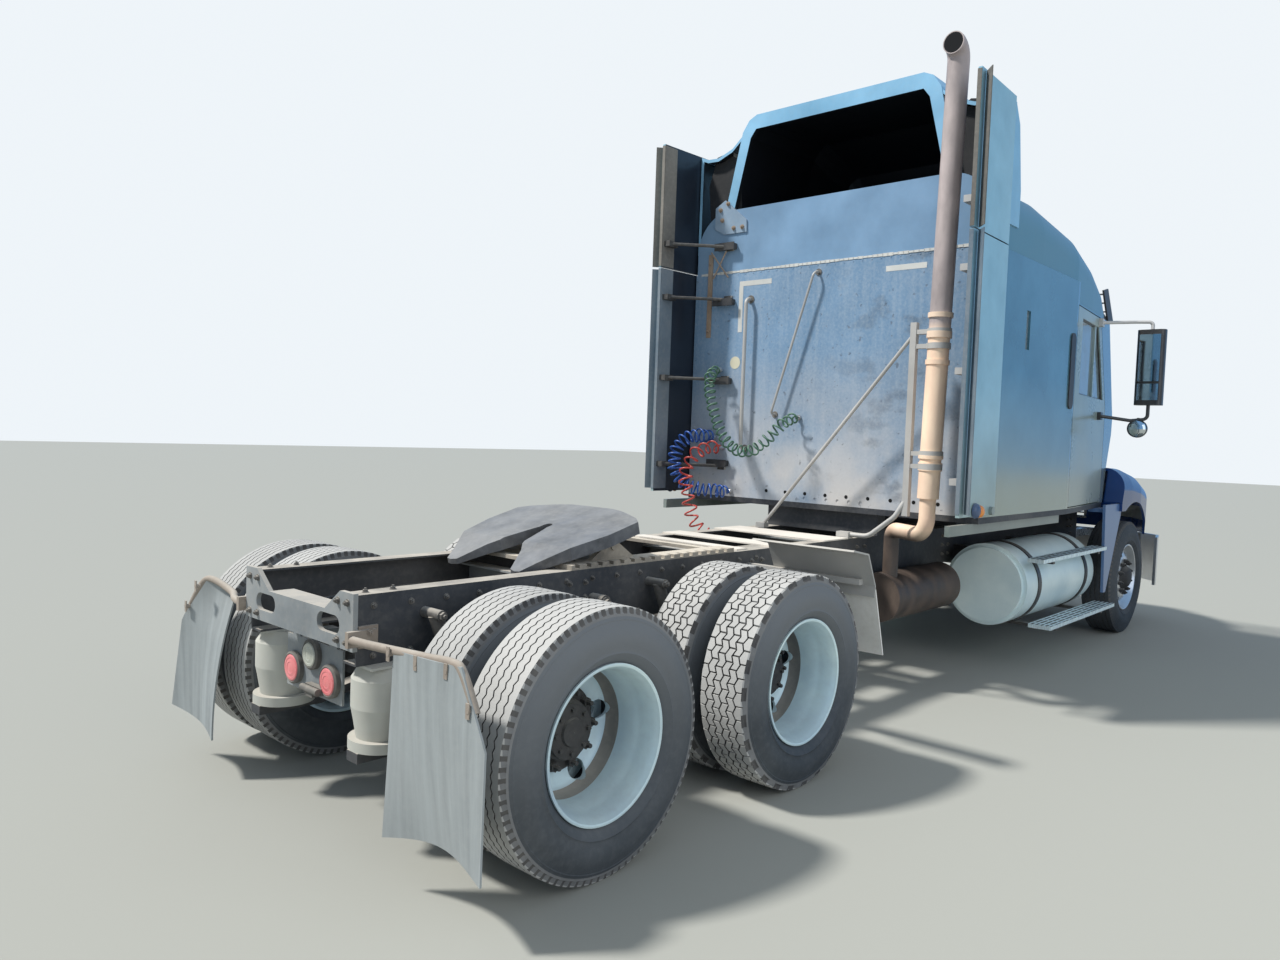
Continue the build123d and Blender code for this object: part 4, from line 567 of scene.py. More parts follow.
RIB_GROOVES = (-0.076, -0.038, 0.0, 0.038, 0.076)
SHOULDER = (
    (0.1100, 0.5030, "top"), (0.1155, 0.4975, "notch"), (0.1190, 0.484, "notch"), (0.1205, 0.479, "low"),
)
SIDEWALL = (
    (0.1225, 0.470), (0.1262, 0.462), (0.1280, 0.459), (0.1272, 0.455), (0.1330, 0.438), (0.1385, 0.424),
    (0.1425, 0.405), (0.1425, 0.386), (0.1398, 0.366), (0.1345, 0.347), (0.1350, 0.341), (0.1368, 0.337),
    (0.1335, 0.332), (0.1225, 0.316), (0.1130, 0.306), (0.1060, 0.2990), (0.1045, 0.289),
)
NOTCH = 0.0055


def tread_columns(lugs):
    """Angle, zigzag offset, cross cut and period of each column around the tyre."""
    if lugs:
        periods = 52
        swing = 0.0075
        phases = ((0.0, 0), (0.03, 1), (0.10, 1), (0.13, 0), (0.5, 0), (0.53, 2), (0.60, 2), (0.63, 0))
    else:
        periods = 84
        swing = 0.0042
        phases = ((0.0, 0), (0.5, 0))
    columns = []
    for p in range(periods):
        for phase, cross in phases:
            wave = 1 - 4 * abs(phase - 0.5)
            columns.append((2 * math.pi * (p + phase) / periods, -swing * wave, cross, p))
    return columns


def tyre_rows(groove_half, depth):
    """Place across the tyre, radius, kind and rib number of each row of points."""
    edge = SHOULDER + tuple((w, r, "side") for w, r in SIDEWALL)
    rows = [(-w, r, kind, 0) for w, r, kind in reversed(edge)]
    for g, w in enumerate(RIB_GROOVES):
        rows.append((w - groove_half, TYRE_R, "edge", g))
        rows.append((w - groove_half * 0.7, TYRE_R - depth, "deep", g))
        rows.append((w + groove_half * 0.7, TYRE_R - depth, "deep", g))
        rows.append((w + groove_half, TYRE_R, "edge", g + 1))
    return rows + [(w, r, kind, len(RIB_GROOVES)) for w, r, kind in edge]


def tyre_mark(kinds, notched, crossed):
    """Finish of a face between two kinds of row: 0 tread, 1 groove, 2 sidewall, 3 shoulder."""
    if "notch" in kinds and notched:
        return 1
    if "deep" in kinds or (crossed and not kinds & {"side", "low", "notch"}):
        return 1
    if "low" in kinds or kinds == {"notch"}:
        return 3
    return 2 if "side" in kinds else 0


def tyre_form(forms, axle, y, lugs):
    """Tyre with grooved tread, notched shoulders and ringed sidewalls."""
    depth = 0.012 if lugs else 0.008
    rows = tyre_rows(0.0038 if lugs else 0.0032, depth)
    columns = tread_columns(lugs)
    points = []
    marks = []
    for i, (angle, zigzag, cross, period) in enumerate(columns):
        notched = (period if lugs else i) % 2
        next_cross = columns[(i + 1) % len(columns)][2]
        for k, (w, r, kind, rib) in enumerate(rows):
            crossed = cross and rib % 2 == cross % 2
            shift = zigzag if kind in ("edge", "deep") else 0.0
            if kind == "notch" and notched:
                shift = -NOTCH if w > 0 else NOTCH
            drop = depth * 0.8 if crossed and kind in ("edge", "top") else 0.0
            points.append(about_axle(axle, y + w + shift, r - drop, angle))
            kinds = {kind, rows[(k + 1) % len(rows)][2]}
            marks.append(tyre_mark(kinds, notched, crossed and next_cross))
    forms.add(points, grid_faces(len(columns), len(rows), True), marks)


DRIVE_WHEEL = (
    (1.2045, 0.2975), (1.2055, 0.2915), (1.2030, 0.2850), (1.1900, 0.2795), (1.1740, 0.2710), (1.1250, 0.2665),
    (1.1040, 0.2610), (1.0780, 0.2525), (1.0150, 0.2495), (0.9950, 0.2480), (0.9760, 0.2440), (0.9560, 0.2350),
    (0.9440, 0.2200), (0.9400, 0.2000), (0.9330, 0.1800), (0.9250, 0.1650), (0.9250, 0.1200), (0.9155, 0.1200),
    (0.9155, 0.1660), (0.9230, 0.1820), (0.9300, 0.2020), (0.9340, 0.2230), (0.9480, 0.2420), (0.9640, 0.2520),
    (0.9600, 0.2700), (0.9610, 0.2970), (0.9670, 0.2970), (0.9740, 0.2800), (1.0150, 0.2590), (1.0780, 0.2620),
    (1.1040, 0.2700), (1.1250, 0.2760), (1.1740, 0.2800), (1.1860, 0.2880), (1.1960, 0.2975),
)
# Finish of each face of that outline: painted shade in the crease between rim and dish
DRIVE_WHEEL_MARKS = [0] * 8 + [1, 1, 1] + [0] * 24
DRIVE_DRUM = ((0.640, 0.205), (0.700, 0.212), (0.870, 0.212), (0.893, 0.200), (0.893, 0.050), (0.640, 0.050))
DRIVE_HUB = (
    (0.900, 0.100), (0.925, 0.168), (0.943, 0.168), (0.948, 0.158), (0.950, 0.122), (0.985, 0.116),
    (0.992, 0.108), (1.006, 0.106), (1.010, 0.098), (1.012, 0.056), (1.022, 0.052), (1.024, 0.0005),
)
STEER_WHEEL = (
    (1.1520, 0.2975), (1.1530, 0.2910), (1.1500, 0.2850), (1.1390, 0.2790), (1.1240, 0.2700), (1.1050, 0.2640),
    (1.0920, 0.2540), (1.0960, 0.2420), (1.1080, 0.2260), (1.1200, 0.2000), (1.1270, 0.1720), (1.1270, 0.1000),
    (1.1100, 0.1000), (1.1100, 0.1700), (1.1020, 0.1980), (1.0880, 0.2220), (1.0740, 0.2400), (1.0200, 0.2560),
    (0.9500, 0.2740), (0.9320, 0.2860), (0.9300, 0.2970), (0.9360, 0.2970), (0.9450, 0.2820), (1.0200, 0.2640),
    (1.0700, 0.2640), (1.1240, 0.2800), (1.1340, 0.2880), (1.1440, 0.2975),
)
STEER_DRUM = ((0.935, 0.205), (1.080, 0.205), (1.098, 0.190), (1.098, 0.050), (0.935, 0.050))
STEER_HUB = (
    (1.110, 0.100), (1.128, 0.118), (1.132, 0.112), (1.160, 0.092), (1.176, 0.080), (1.184, 0.062),
    (1.186, 0.0005),
)
NUT_CIRCLE_R = 0.1428
CAP_CIRCLE_R = 0.084


def on_side(outline, side):
    return [(side * y, r) for y, r in outline]


def across_wheel(axle, side, ys, radius, angle):
    """Places at one angle and radius and several places across the truck."""
    return [about_axle(axle, side * y, radius, angle) for y in ys]


def cut_hand_holes(rim, axle, side, angles, circle_r, ys, radius):
    """Round holes through a wheel."""
    cutters = []
    for a in angles:
        forms = Forms()
        forms.rod(*across_wheel(axle, side, ys, circle_r, a), radius, 24)
        cutters.append(placed("cutter", forms.mesh("cutter")))
    cut(rim, cutters)


def hub_form(axle, side, drum, hub, angles, nut_ys, nut_r, stud_r):
    """Brake drum, hub face and wheel nuts with their studs' ends."""
    forms = Forms()
    forms.turned(about_axle, axle, on_side(drum, side), 48)
    forms.turned(about_axle, axle, on_side(hub, side), 48, closed=False)
    for a in angles:
        foot, top, tip = across_wheel(axle, side, nut_ys, NUT_CIRCLE_R, a)
        forms.rod(foot, top, nut_r, 6)
        forms.rod(top, tip, 0.0115, 8, 0, stud_r)
    return forms


def dual_wheel(place, axle, side, body, lugs):
    """Twin tyres, two dished wheels back to back, drum and hub."""
    tyres = Forms()
    for offset in (-0.5, 0.5):
        tyre_form(tyres, axle, side * (DUAL_MID_Y + offset * DUAL_PITCH), lugs)
    dusty = ("tread", "groove", "sidewall", "shoulder")
    piece = tyres.finish(f"tyres_{place}", body, "tyre_black", *dusty, angle=28)
    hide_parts(f"drive_tyres_{place}")
    wheels = Forms()
    inner_wheel = [(2 * DUAL_MID_Y - y, r) for y, r in DRIVE_WHEEL]
    for outline in (DRIVE_WHEEL, inner_wheel):
        wheels.turned(about_axle, axle, on_side(outline, side), 96, DRIVE_WHEEL_MARKS)
    rim = wheels.finish(f"wheel_{place}", body, "wheel_silver", "rim", "rim_crease_shade")
    cut_hand_holes(rim, axle, side, around(5, 0.12), 0.204, (0.86, 0.98), 0.039)
    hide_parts(f"drive_rims_{place}")
    hub = hub_form(axle, side, DRIVE_DRUM, DRIVE_HUB, around(10, 0.5), (0.945, 0.974, 0.998), 0.0195, 0.009)
    for a in around(8):
        hub.rod(*across_wheel(axle, side, (1.008, 1.022), CAP_CIRCLE_R, a), 0.010, 6)
    hub.finish(f"hub_{place}", body, "engine_iron", "hub")


def steer_wheel(side_name, axle, side, body):
    """Single tyre on an alloy wheel with round hand holes."""
    tyres = Forms()
    tyre_form(tyres, axle, side * STEER_TYRE_Y, False)
    dark = ("steer_tread", "groove", "steer_tread", "steer_tread")
    piece = tyres.finish(f"tyre_steer_{side_name}", body, "tyre_black", *dark, angle=28)
    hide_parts(f"steer_tyre_{side_name}")
    wheels = Forms()
    wheels.turned(about_axle, axle, on_side(STEER_WHEEL, side), 96)
    rim = wheels.finish(f"wheel_steer_{side_name}", body, "wheel_silver", "alloy")
    cut_hand_holes(rim, axle, side, around(10, 0.5), 0.213, (1.04, 1.16), 0.024)
    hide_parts(f"steer_rim_{side_name}")
    hub = hub_form(axle, side, STEER_DRUM, STEER_HUB, around(10), (1.127, 1.156, 1.170), 0.0185, 0.008)
    hub.finish(f"hub_steer_{side_name}", body, "engine_iron", "hub")


def make_wheels():
    for side_name, side in SIDES.items():
        for which, x, lugs in (("rear", 0.0, False), ("front", TANDEM_SPREAD, True)):
            place = f"{which}_{side_name}"
            dual_wheel(place, at(x, 0, AXLE_Z), side, f"drive_wheel_{place}", lugs)
        steer_wheel(side_name, at(STEER_AXLE_X, 0, AXLE_Z), side, f"steer_wheel_{side_name}")


# Curly lines, on the same routes as in the part's source

LINES = {
    "green": ((3.292, 0.900, 2.160), (3.180, 0.890, 2.150), (3.090, 0.850, 2.030), (3.060, 0.760, 1.800),
              (3.060, 0.640, 1.590), (3.050, 0.450, 1.520), (3.050, 0.290, 1.610), (3.090, 0.190, 1.740),
              (3.200, 0.170, 1.790), (3.292, 0.170, 1.800)),
    "blue": ((3.292, 0.930, 1.640), (3.180, 0.940, 1.650), (3.060, 1.000, 1.640), (2.990, 1.050, 1.560),
             (2.960, 1.056, 1.440), (2.990, 1.030, 1.310), (3.060, 0.930, 1.240), (3.170, 0.775, 1.230),
             (3.288, 0.760, 1.230)),
    "red": ((3.292, 0.850, 1.560), (3.150, 0.870, 1.570), (3.000, 0.900, 1.500), (2.940, 0.930, 1.360),
            (2.940, 0.880, 1.190), (2.960, 0.860, 1.030), (3.000, 0.790, 0.920), (3.040, 0.660, 0.890),
            (3.040, 0.540, 0.896), (3.040, 0.440, 0.900)),
}
# Turns, radius of the coil, share of the route on which it opens and closes
COILS = {"green": (29, 0.038, 0.06), "blue": (23, 0.048, 0.07), "red": (16, 0.048, 0.07)}
LINE_R = 0.0068
POINTS_PER_TURN = 14


def smooth_curve(name, places, fineness):
    """Smooth curve from the first to the last of its control points."""
    curve = bpy.data.curves.new(name, "CURVE")
    curve.dimensions = "3D"
    curve.resolution_u = fineness
    spline = curve.splines.new("NURBS")
    spline.points.add(len(places) - 1)
    for point, place in zip(spline.points, places):
        point.co = (*place, 1.0)
    spline.order_u = 3
    spline.use_endpoint_u = True
    return curve


def route_points(route):
    """Points of the smooth line that a route's control points give."""
    curve = smooth_curve("route", [at(*place) for place in route], 24)
    holder = placed("route", curve)
    depsgraph = bpy.context.evaluated_depsgraph_get()
    depsgraph.update()
    mesh = bpy.data.meshes.new_from_object(holder.evaluated_get(depsgraph))
    points = [v.co.copy() for v in mesh.vertices]
    bpy.data.meshes.remove(mesh)
    bpy.data.objects.remove(holder)
    bpy.data.curves.remove(curve)
    return points


def helix_points(points, turns, radius, straight):
    """Helix about a line, uneven in width, that opens at one end and closes at the other."""
    lengths = [0.0]
    for a, b in zip(points, points[1:]):
        lengths.append(lengths[-1] + (b - a).length)
    count = turns * POINTS_PER_TURN
    helix = []
    side = None
    index = 0
    for i in range(count + 1):
        share = i / count
        goal = share * lengths[-1]
        while index < len(lengths) - 2 and lengths[index + 1] < goal:
            index += 1
        a, b = points[index:index + 2]
        run = max(1e-9, lengths[index + 1] - lengths[index])
        place = a.lerp(b, (goal - lengths[index]) / run)
        ahead = (b - a).normalized()
        side = square_to(ahead, side)
        other = ahead.cross(side)
        open_up = min(1.0, share / straight, (1.0 - share) / straight)
        open_up = open_up * open_up * (3 - 2 * open_up)
        turn = 2 * math.pi * turns * share
        r = radius * open_up * (1 + 0.10 * math.sin(turn * 0.37))
        helix.append(place + side * r * math.cos(turn) + other * r * math.sin(turn))
    return helix


def make_lines():
    """The three coiled lines with their end fittings."""
    for colour, route in LINES.items():
        helix = helix_points(route_points(route), *COILS[colour])
        curve = smooth_curve(f"line_{colour}", helix, 2)
        curve.bevel_depth = LINE_R
        curve.bevel_resolution = 2
        curve.use_fill_caps = True
        curve.materials.append(finishes[f"hose_{colour}"])
        piece = placed(f"line_{colour}", curve)
        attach(piece, "chassis")
        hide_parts(f"hose_{colour}")
        fittings = Forms()
        for place, nearby in ((helix[0], helix[2]), (helix[-1], helix[-3])):
            inward = (place - nearby).normalized()
            fittings.rod(place - inward * 0.030, place + inward * 0.006, 0.012, 6)
            fittings.rod(place - inward * 0.008, place + inward * 0.008, 0.019, 16)
        fittings.finish(f"fittings_{colour}", "chassis", "grille_chrome", "bright")


# Frame: bolts, dampers and the small lines about the rails

def make_bolts():
    bolts = Forms()
    for side in (1, -1):
        outward = (0, side, 0)
        for x in (0.56, 1.98, 3.18, 4.50, 7.41):
            for dx in (-0.05, 0.05):
                for z in (0.80, 0.87, 0.94):
                    bolts.bolt(at(x + dx, side * RAIL_Y, z), outward, 0.011)
        for x in steps(-0.50, 0.165, 19):
            for z in (0.765, 0.955):
                bolts.bolt(at(x, side * RAIL_Y, z), outward, 0.010)
        for x in (-0.45, 0.86, 1.20):
            for dx in (-0.06, 0.06):
                bolts.bolt(at(x + dx, side * (RAIL_Y - 0.045), RAIL_TOP), UPWARD, 0.010)
    for y in (-0.40, 0.40, -0.33, 0.33):
        for z in (0.82, 0.97):
            bolts.bolt(at(-0.590, y, z), REARWARD, 0.011)
    bolts.finish("frame_bolts", "chassis", "frame_black", "steel")


def make_dampers():
    rods = Forms()
    for side in (1, -1):
        outward = (0, side, 0)
        for x in (0.0, TANDEM_SPREAD):
            pin_end = at(x - 0.272, side * 0.545, 0.905)
            rods.rod(at(x - 0.27, side * 0.500, 0.905), at(x - 0.10, side * 0.540, 0.440), 0.030, 16)
            rods.rod(at(x - 0.272, side * RAIL_Y, 0.905), pin_end, 0.022, 14)
            rods.bolt(pin_end, outward, 0.017)
        rods.rod(at(0.66, side * RAIL_Y, 0.85), at(0.66, side * 0.52, 0.85), 0.035, 16)
        rods.bolt(at(0.66, side * 0.52, 0.85), outward, 0.020)
    rods.finish("dampers", "chassis", "frame_black", "steel")


# Distance inside the rail, height, sag, waves per metre, lag, start, points and radius
PIPES = ((0.045, 0.80, 0.012, 5, 0, -0.45, 16, 0.011), (0.060, 0.84, 0.015, 4, 1, -0.30, 15, 0.008))
TANK_X = 2.45
TANK_HALF = 0.30
TANK_R = 0.105


def make_frame_lines():
    """Two sagging pipes inside each rail, and two air tanks between the rails."""
    pipes = Forms()
    for side in (1, -1):
        for inset, z, sag, wave, lag, start, count, radius in PIPES:
            y = side * (RAIL_Y - inset)
            line = [at(x, y, z + sag * math.sin(wave * x + lag)) for x in steps(start, 0.25, count)]
            pipes.tube(curved(line, 4), radius, 8)
    for z in (0.62, 0.84):
        pipes.rod(at(TANK_X - TANK_HALF, 0.0, z), at(TANK_X + TANK_HALF, 0.0, z), TANK_R, 28, 1)
        for end in (-1, 1):
            pipes.dome(at(TANK_X + end * TANK_HALF, 0.0, z), (end, 0, 0), TANK_R, 0.04, 28, 1)
    pipes.finish("frame_lines", "chassis", "mirror_black", "black", "frame")


# Rear end: flaps, their hangers and the lamps between them

HANGERS = {
    -1: ((0.024, 0.440, 0.842), (0.024, 0.574, 0.846), (0.024, 0.900, 0.866), (0.024, 1.080, 0.878),
         (0.024, 1.135, 0.855), (0.024, 1.205, 0.740)),
    1: ((0.024, 0.440, 0.842), (0.044, 0.560, 0.846), (0.094, 0.700, 0.850), (0.074, 0.860, 0.888),
        (0.054, 0.930, 0.860), (0.029, 1.025, 0.715)),
}
CLIPS = {
    -1: ((0.735, 0.866), (0.900, 0.866), (1.070, 0.872), (1.190, 0.770)),
    1: ((0.880, 0.880), (0.990, 0.770)),
}
FLAP_THICKNESS = 0.008
# Place across, height, radius and finish of each tail lamp
TAIL_LAMPS = ((-0.148, 0.608, 0.055, 0), (0.148, 0.608, 0.055, 0), (0.0, 0.690, 0.050, 1))
LAMP_RIM = ((0.0, 0.013), (-0.019, 0.013), (-0.025, 0.004), (-0.022, 0.0), (0.0, 0.0))
# Rise of the lens and share of its radius
LENS = (
    (0.0, 1.0), (0.0035, 0.92), (0.0045, 0.75), (0.0030, 0.70), (0.0055, 0.45), (0.0040, 0.40), (0.0060, 0.02),
)


def make_hangers():
    """Bent tube and rail bracket of each rear flap; the left tube is bent forward."""
    hangers = Forms()
    for side, route in HANGERS.items():
        foot = side * RAIL_Y
        face = side * (RAIL_Y + 0.030)
        hangers.tube(curved([at(FLAP_X + x, side * y, z) for x, y, z in route], 6), 0.016, 14)
        hangers.box(at(-0.568, foot, 0.800), at(-0.486, foot + side * 0.012, 0.884))
        hangers.box(at(-0.622, foot + side * 0.009, 0.812), at(-0.500, face, 0.872))
        for z in (0.822, 0.862):
            hangers.bolt(at(-0.530, face, z), (0, side, 0), 0.011)
    piece = hangers.finish("hangers", "chassis", "frame_black", "hanger", angle=40)
    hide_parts("flap_hangers")


def make_clips():
    """Clips and bolts along each rear flap's top."""
    clips = Forms()
    for side, places in CLIPS.items():
        for across, z in places:
            y = side * across
            clips.rod(at(FLAP_X, y, z - 0.02), at(FLAP_X + 0.022, y, z - 0.02), 0.009, 8)
            clips.box(at(FLAP_X + 0.001, y - 0.009, z - 0.045), at(FLAP_X + 0.005, y + 0.009, z + 0.006))
    clips.finish("flap_clips", "chassis", "frame_black", "hanger")


def make_tail_lamps():
    """Rubber rims and lenses of the tail lamps, and the small lamp bar between them."""
    rims = Forms()
    rims.box(at(-0.535, -0.115, 0.545), at(-0.507, 0.015, 0.573))
    rims.rod(at(-0.548, -0.115, 0.560), at(-0.548, 0.015, 0.560), 0.014, 14)
    rims.box(at(-0.552, -0.075, 0.532), at(-0.512, -0.025, 0.548))
    lenses = Forms()
    for y, z, radius, mark in TAIL_LAMPS:
        centre = at(0, y, z)
        rims.turned(facing_rear, centre, [(LAMP_X + x, radius + r) for x, r in LAMP_RIM], 40)
        lens = [(LAMP_X - 0.0235 - lift, radius * share) for lift, share in LENS]
        lenses.turned(facing_rear, centre, lens, 36, mark, False, True)
    rims.finish("lamp_rims", "chassis", "lamp_clear", "rubber")
    lenses.finish("lamp_lenses", "chassis", "lamp_red", "red_lens", "clear_lens")


def bent_sheet(forms, place, across, up, mark=0):
    """Flap through place(u, v), with u across from 0 to 1 and v up, its thickness towards the front."""
    points = [place(i / across, j / up) for j in range(up + 1) for i in range(across + 1)]
    row = across + 1
    whole = len(points)
    points += [p + Vector((FLAP_THICKNESS, 0, 0)) for p in points]
    faces = grid_faces(up + 1, row, closed=False)
    faces += [tuple(whole + n for n in reversed(face)) for face in faces]
    border = list(range(row)) + [j * row + across for j in range(1, up + 1)]
    border += [up * row + i for i in range(across - 1, -1, -1)] + [j * row for j in range(up - 1, 0, -1)]
    for a, b in zip(border, border[1:] + border[:1]):
        faces.append((b, a, whole + a, whole + b))
    forms.add(points, faces, mark)


def right_rear_flap(u, v):
    """Curved flap whose outer top corner is cut off above the bend."""
    bend = 0.64
    below = min(1.0, v / bend)
    rest = max(0.0, (v - bend) / (1 - bend))
    inner = Vector((0, -0.717 - 0.036 * v, 0.193 + 0.671 * v))
    outer = Vector((0, -1.276 + 0.136 * rest, 0.214 + 0.426 * below + 0.239 * rest))
    p = inner.lerp(outer, u)
    swell = math.sin(math.pi * u)
    ripple = 0.006 * math.sin(5.0 * u + 2.0 * v)
    return at(FLAP_X + 0.007 + ripple + 0.045 * (1 - v) ** 2 * swell, p.y, p.z + 0.030 * swell * (1 - v))


def left_rear_flap(u, v):
    """Twisted flap that hangs from the bent tube."""
    shoulder = 0.70
    below = min(1.0, v / shoulder)
    rest = max(0.0, (v - shoulder) / (1 - shoulder))
    inner = Vector((0.004 + 0.100 * v * v, 0.690 + 0.010 * v, 0.180 + 0.640 * v))
    outer_y = 1.145 - 0.110 * below - 0.150 * rest
    outer = Vector((0.004 + 0.050 * rest, outer_y, 0.247 + 0.440 * below + 0.195 * rest))
    p = inner.lerp(outer, u)
    return at(FLAP_X + p.x + 0.035 * math.sin(math.pi * u) * (1 - 0.5 * v), p.y, p.z)


def make_flaps():
    """Rubber flaps: the rear ones are bent, the front ones hang straight."""
    flaps = Forms()
    bent_sheet(flaps, right_rear_flap, 20, 22)
    bent_sheet(flaps, left_rear_flap, 20, 22)
    top = at(TANDEM_SPREAD + 0.620, 0, 0.880)
    foot = at(TANDEM_SPREAD + 0.734, 0, 0.520)
    for side in (1, -1):
        def front_flap(u, v):
            p = foot.lerp(top, v)
            return Vector((p.x - 0.012 * math.sin(math.pi * u) * (1 - v), side * (0.640 + 0.571 * u), p.z))

        bent_sheet(flaps, front_flap, 10, 10, 1)
    piece = flaps.finish("flaps", "chassis", "flap_grey", "flap", "pale_flap", angle=40)
    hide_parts("mud_flaps")


# Cab's rear wall; what lies on the wall is a little clear of its face

GAP = 0.0002
TAPE_OUT = 0.0012
TAPES = ((0.46, 0.75, 2.785, 2.822), (-0.46, -0.75, 2.785, 2.822), (0.715, 0.752, 2.44, 2.785))
CORNER_PLATE = ((0.70, 3.19), (0.91, 3.19), (1.00, 3.24), (1.00, 3.40), (0.91, 3.45), (0.705, 3.28))
FAIRING_GAP = ((0.800, 3.330), (1.100, 3.330), (1.130, 3.600), (1.060, 3.815), (0.960, 3.835), (0.845, 3.760))
# Place across, height and radius of each
RAIL_FEET = ((0.640, 1.56, 0.030), (0.640, 2.68, 0.030), (0.060, 2.830, 0.024), (0.380, 1.820, 0.024))


def make_rivets():
    places = [(y, SEAM_Z - 0.022) for y in steps(-1.12, 0.07, 33)]
    places += [(y, z) for y in (-1.14, 1.14) for z in steps(1.26, 0.09, 18)]
    rivets = Forms()
    for y, z in places:
        rivets.dome(on_wall(y, z), REARWARD, 0.006, 0.003)
    rivets.finish("wall_rivets", "chassis", "wall_blue", "wall")


def make_tapes():
    """Pale tapes, the crumbling sealant of the seam and a round patch."""
    tapes = Forms()
    for y0, y1, z0, z1 in TAPES:
        tapes.box(on_wall(y0, z0, TAPE_OUT), on_wall(y1, z1, GAP))
    for y in steps(-1.10, 0.037, 60):
        wide = 0.007 + 0.005 * random.random()
        tapes.box(on_wall(y, SEAM_Z - wide, 0.0035), on_wall(y + 0.040, SEAM_Z + wide * 0.8, GAP))
    tapes.rod(on_wall(0.765, 2.21, 0.0015), on_wall(0.765, 2.21, GAP), 0.047, 32, 1)
    tapes.finish("wall_tapes", "chassis", "tank_aluminium", "tape", "patch")


def make_wall_corner():
    """Corner plate, clamps of the upright, rusty strip and crossed rods at the wall's left edge."""
    out = 0.012
    corner = Forms()
    corner.plate([on_wall(y, z, out) for y, z in CORNER_PLATE], (out, 0, 0))
    for y, z in ((0.74, 3.23), (0.82, 3.23), (0.93, 3.30), (0.95, 3.38), (0.88, 3.42)):
        corner.bolt(on_wall(y, z, out), REARWARD, 0.013, 1)
    for z in (1.44, 2.07, 2.67, 3.09):
        corner.box(on_wall(0.790, z - 0.022, 0.050), on_wall(0.955, z + 0.022, 0.002), 2)
        corner.box(on_wall(0.780, z - 0.028, 0.056), on_wall(0.965, z + 0.028, 0.050), 2)
    corner.box(on_wall(1.010, 2.41, out), on_wall(1.050, 3.05, 0.002), 1)
    for z in (2.46, 2.72, 2.98):
        corner.bolt(on_wall(1.03, z, out), REARWARD, 0.012, 1)
    for lean in (0.081, -0.063):
        corner.rod(on_wall(0.93 - lean, 2.86, 0.020), on_wall(0.93 + lean, 3.06, 0.030), 0.006, 8, 1)
    corner.finish("wall_corner", "chassis", "frame_black", "corner", "rust", "black")


def make_wall_holes():
    """Drain holes along the wall's foot, as dark discs of painted shade, and dark panels of painted shade that
    close the gaps beside the fairing.
    """
    closing = Forms()
    for y in steps(0.43, -0.167, 10):
        closing.rod(on_wall(y, 1.255, TAPE_OUT), on_wall(y, 1.255, GAP), 0.013, 20)
    for side in (1, -1):
        closing.plate([on_wall(side * y, z, -0.060) for y, z in FAIRING_GAP], (0.006, 0, 0), 1)
    closing.finish("wall_holes", "chassis", "mirror_black", "opening_shade", "dark_inside")


def make_side_markers():
    """Amber dome and its case on each extender."""
    markers = Forms()
    for side in (1, -1):
        y = side * (CAB_HALF_W + 0.0465)
        markers.dome(at(3.130, y, 1.245), (0, side, 0), 0.048, 0.030, 24, 1)
        markers.dome(at(3.185, y, 1.240), (0, side, 0), 0.040, 0.034, 24, 0)
    # The case's blue is a painted reflection of the sky.
    markers.finish("side_markers", "chassis", "lamp_red", "amber_lens", "case_sky_reflection", angle=50)


def make_rail_feet():
    feet = Forms()
    for y, z, radius in RAIL_FEET:
        feet.rod(on_wall(y, z, 0.006), on_wall(y, z), radius, 20)
    feet.finish("rail_feet", "chassis", "frame_black", "steel")


# Cab's sides: mirrors, windows and extenders, and the exhaust stack

MIRROR_PANES = ((2.225, 2.610), (2.070, 2.205))
# Border, rear face, front face and finish of a pane and of its black surround
PANE_LAYERS = ((0.0, 6.036, 6.041, 0), (0.006, 6.0375, 6.0405, 1))
STRIP_X = 4.880
STRIP_Z = 2.225
STRIP_HALF_HEIGHT = 0.235
STRIP_R = 0.048
STRIP_OUT = 0.010
# Height, width, radius and finish of each clamp or joint
STACK_BANDS = (
    (2.440, 0.030, 0.076, 0), (2.320, 0.040, 0.076, 0), (2.150, 0.030, 0.0735, 1), (1.560, 0.022, 0.076, 1),
    (1.500, 0.050, 0.0735, 1),
)
MOUTH_Z = 4.06


def make_mirror_faces():
    """Glass on the rear of each mirror: a tall pane, a short one below it and the round one."""
    for side_name, side in SIDES.items():
        glass = Forms()
        for z0, z1 in MIRROR_PANES:
            for border, x0, x1, mark in PANE_LAYERS:
                inner = side * (MIRROR_Y + 0.026 - border)
                outer = side * (MIRROR_Y + 0.184 + border)
                glass.box(at(x0, inner, z0 - border), at(x1, outer, z1 + border), mark)
        glass.dome(at(6.061, side * (MIRROR_Y + 0.040), 1.835), REARWARD, 0.070, 0.024, 32)
        body = f"door_body_{side_name}"
        glass.finish(f"mirror_glass_{side_name}", body, "grille_chrome", "mirror", "black", angle=50)


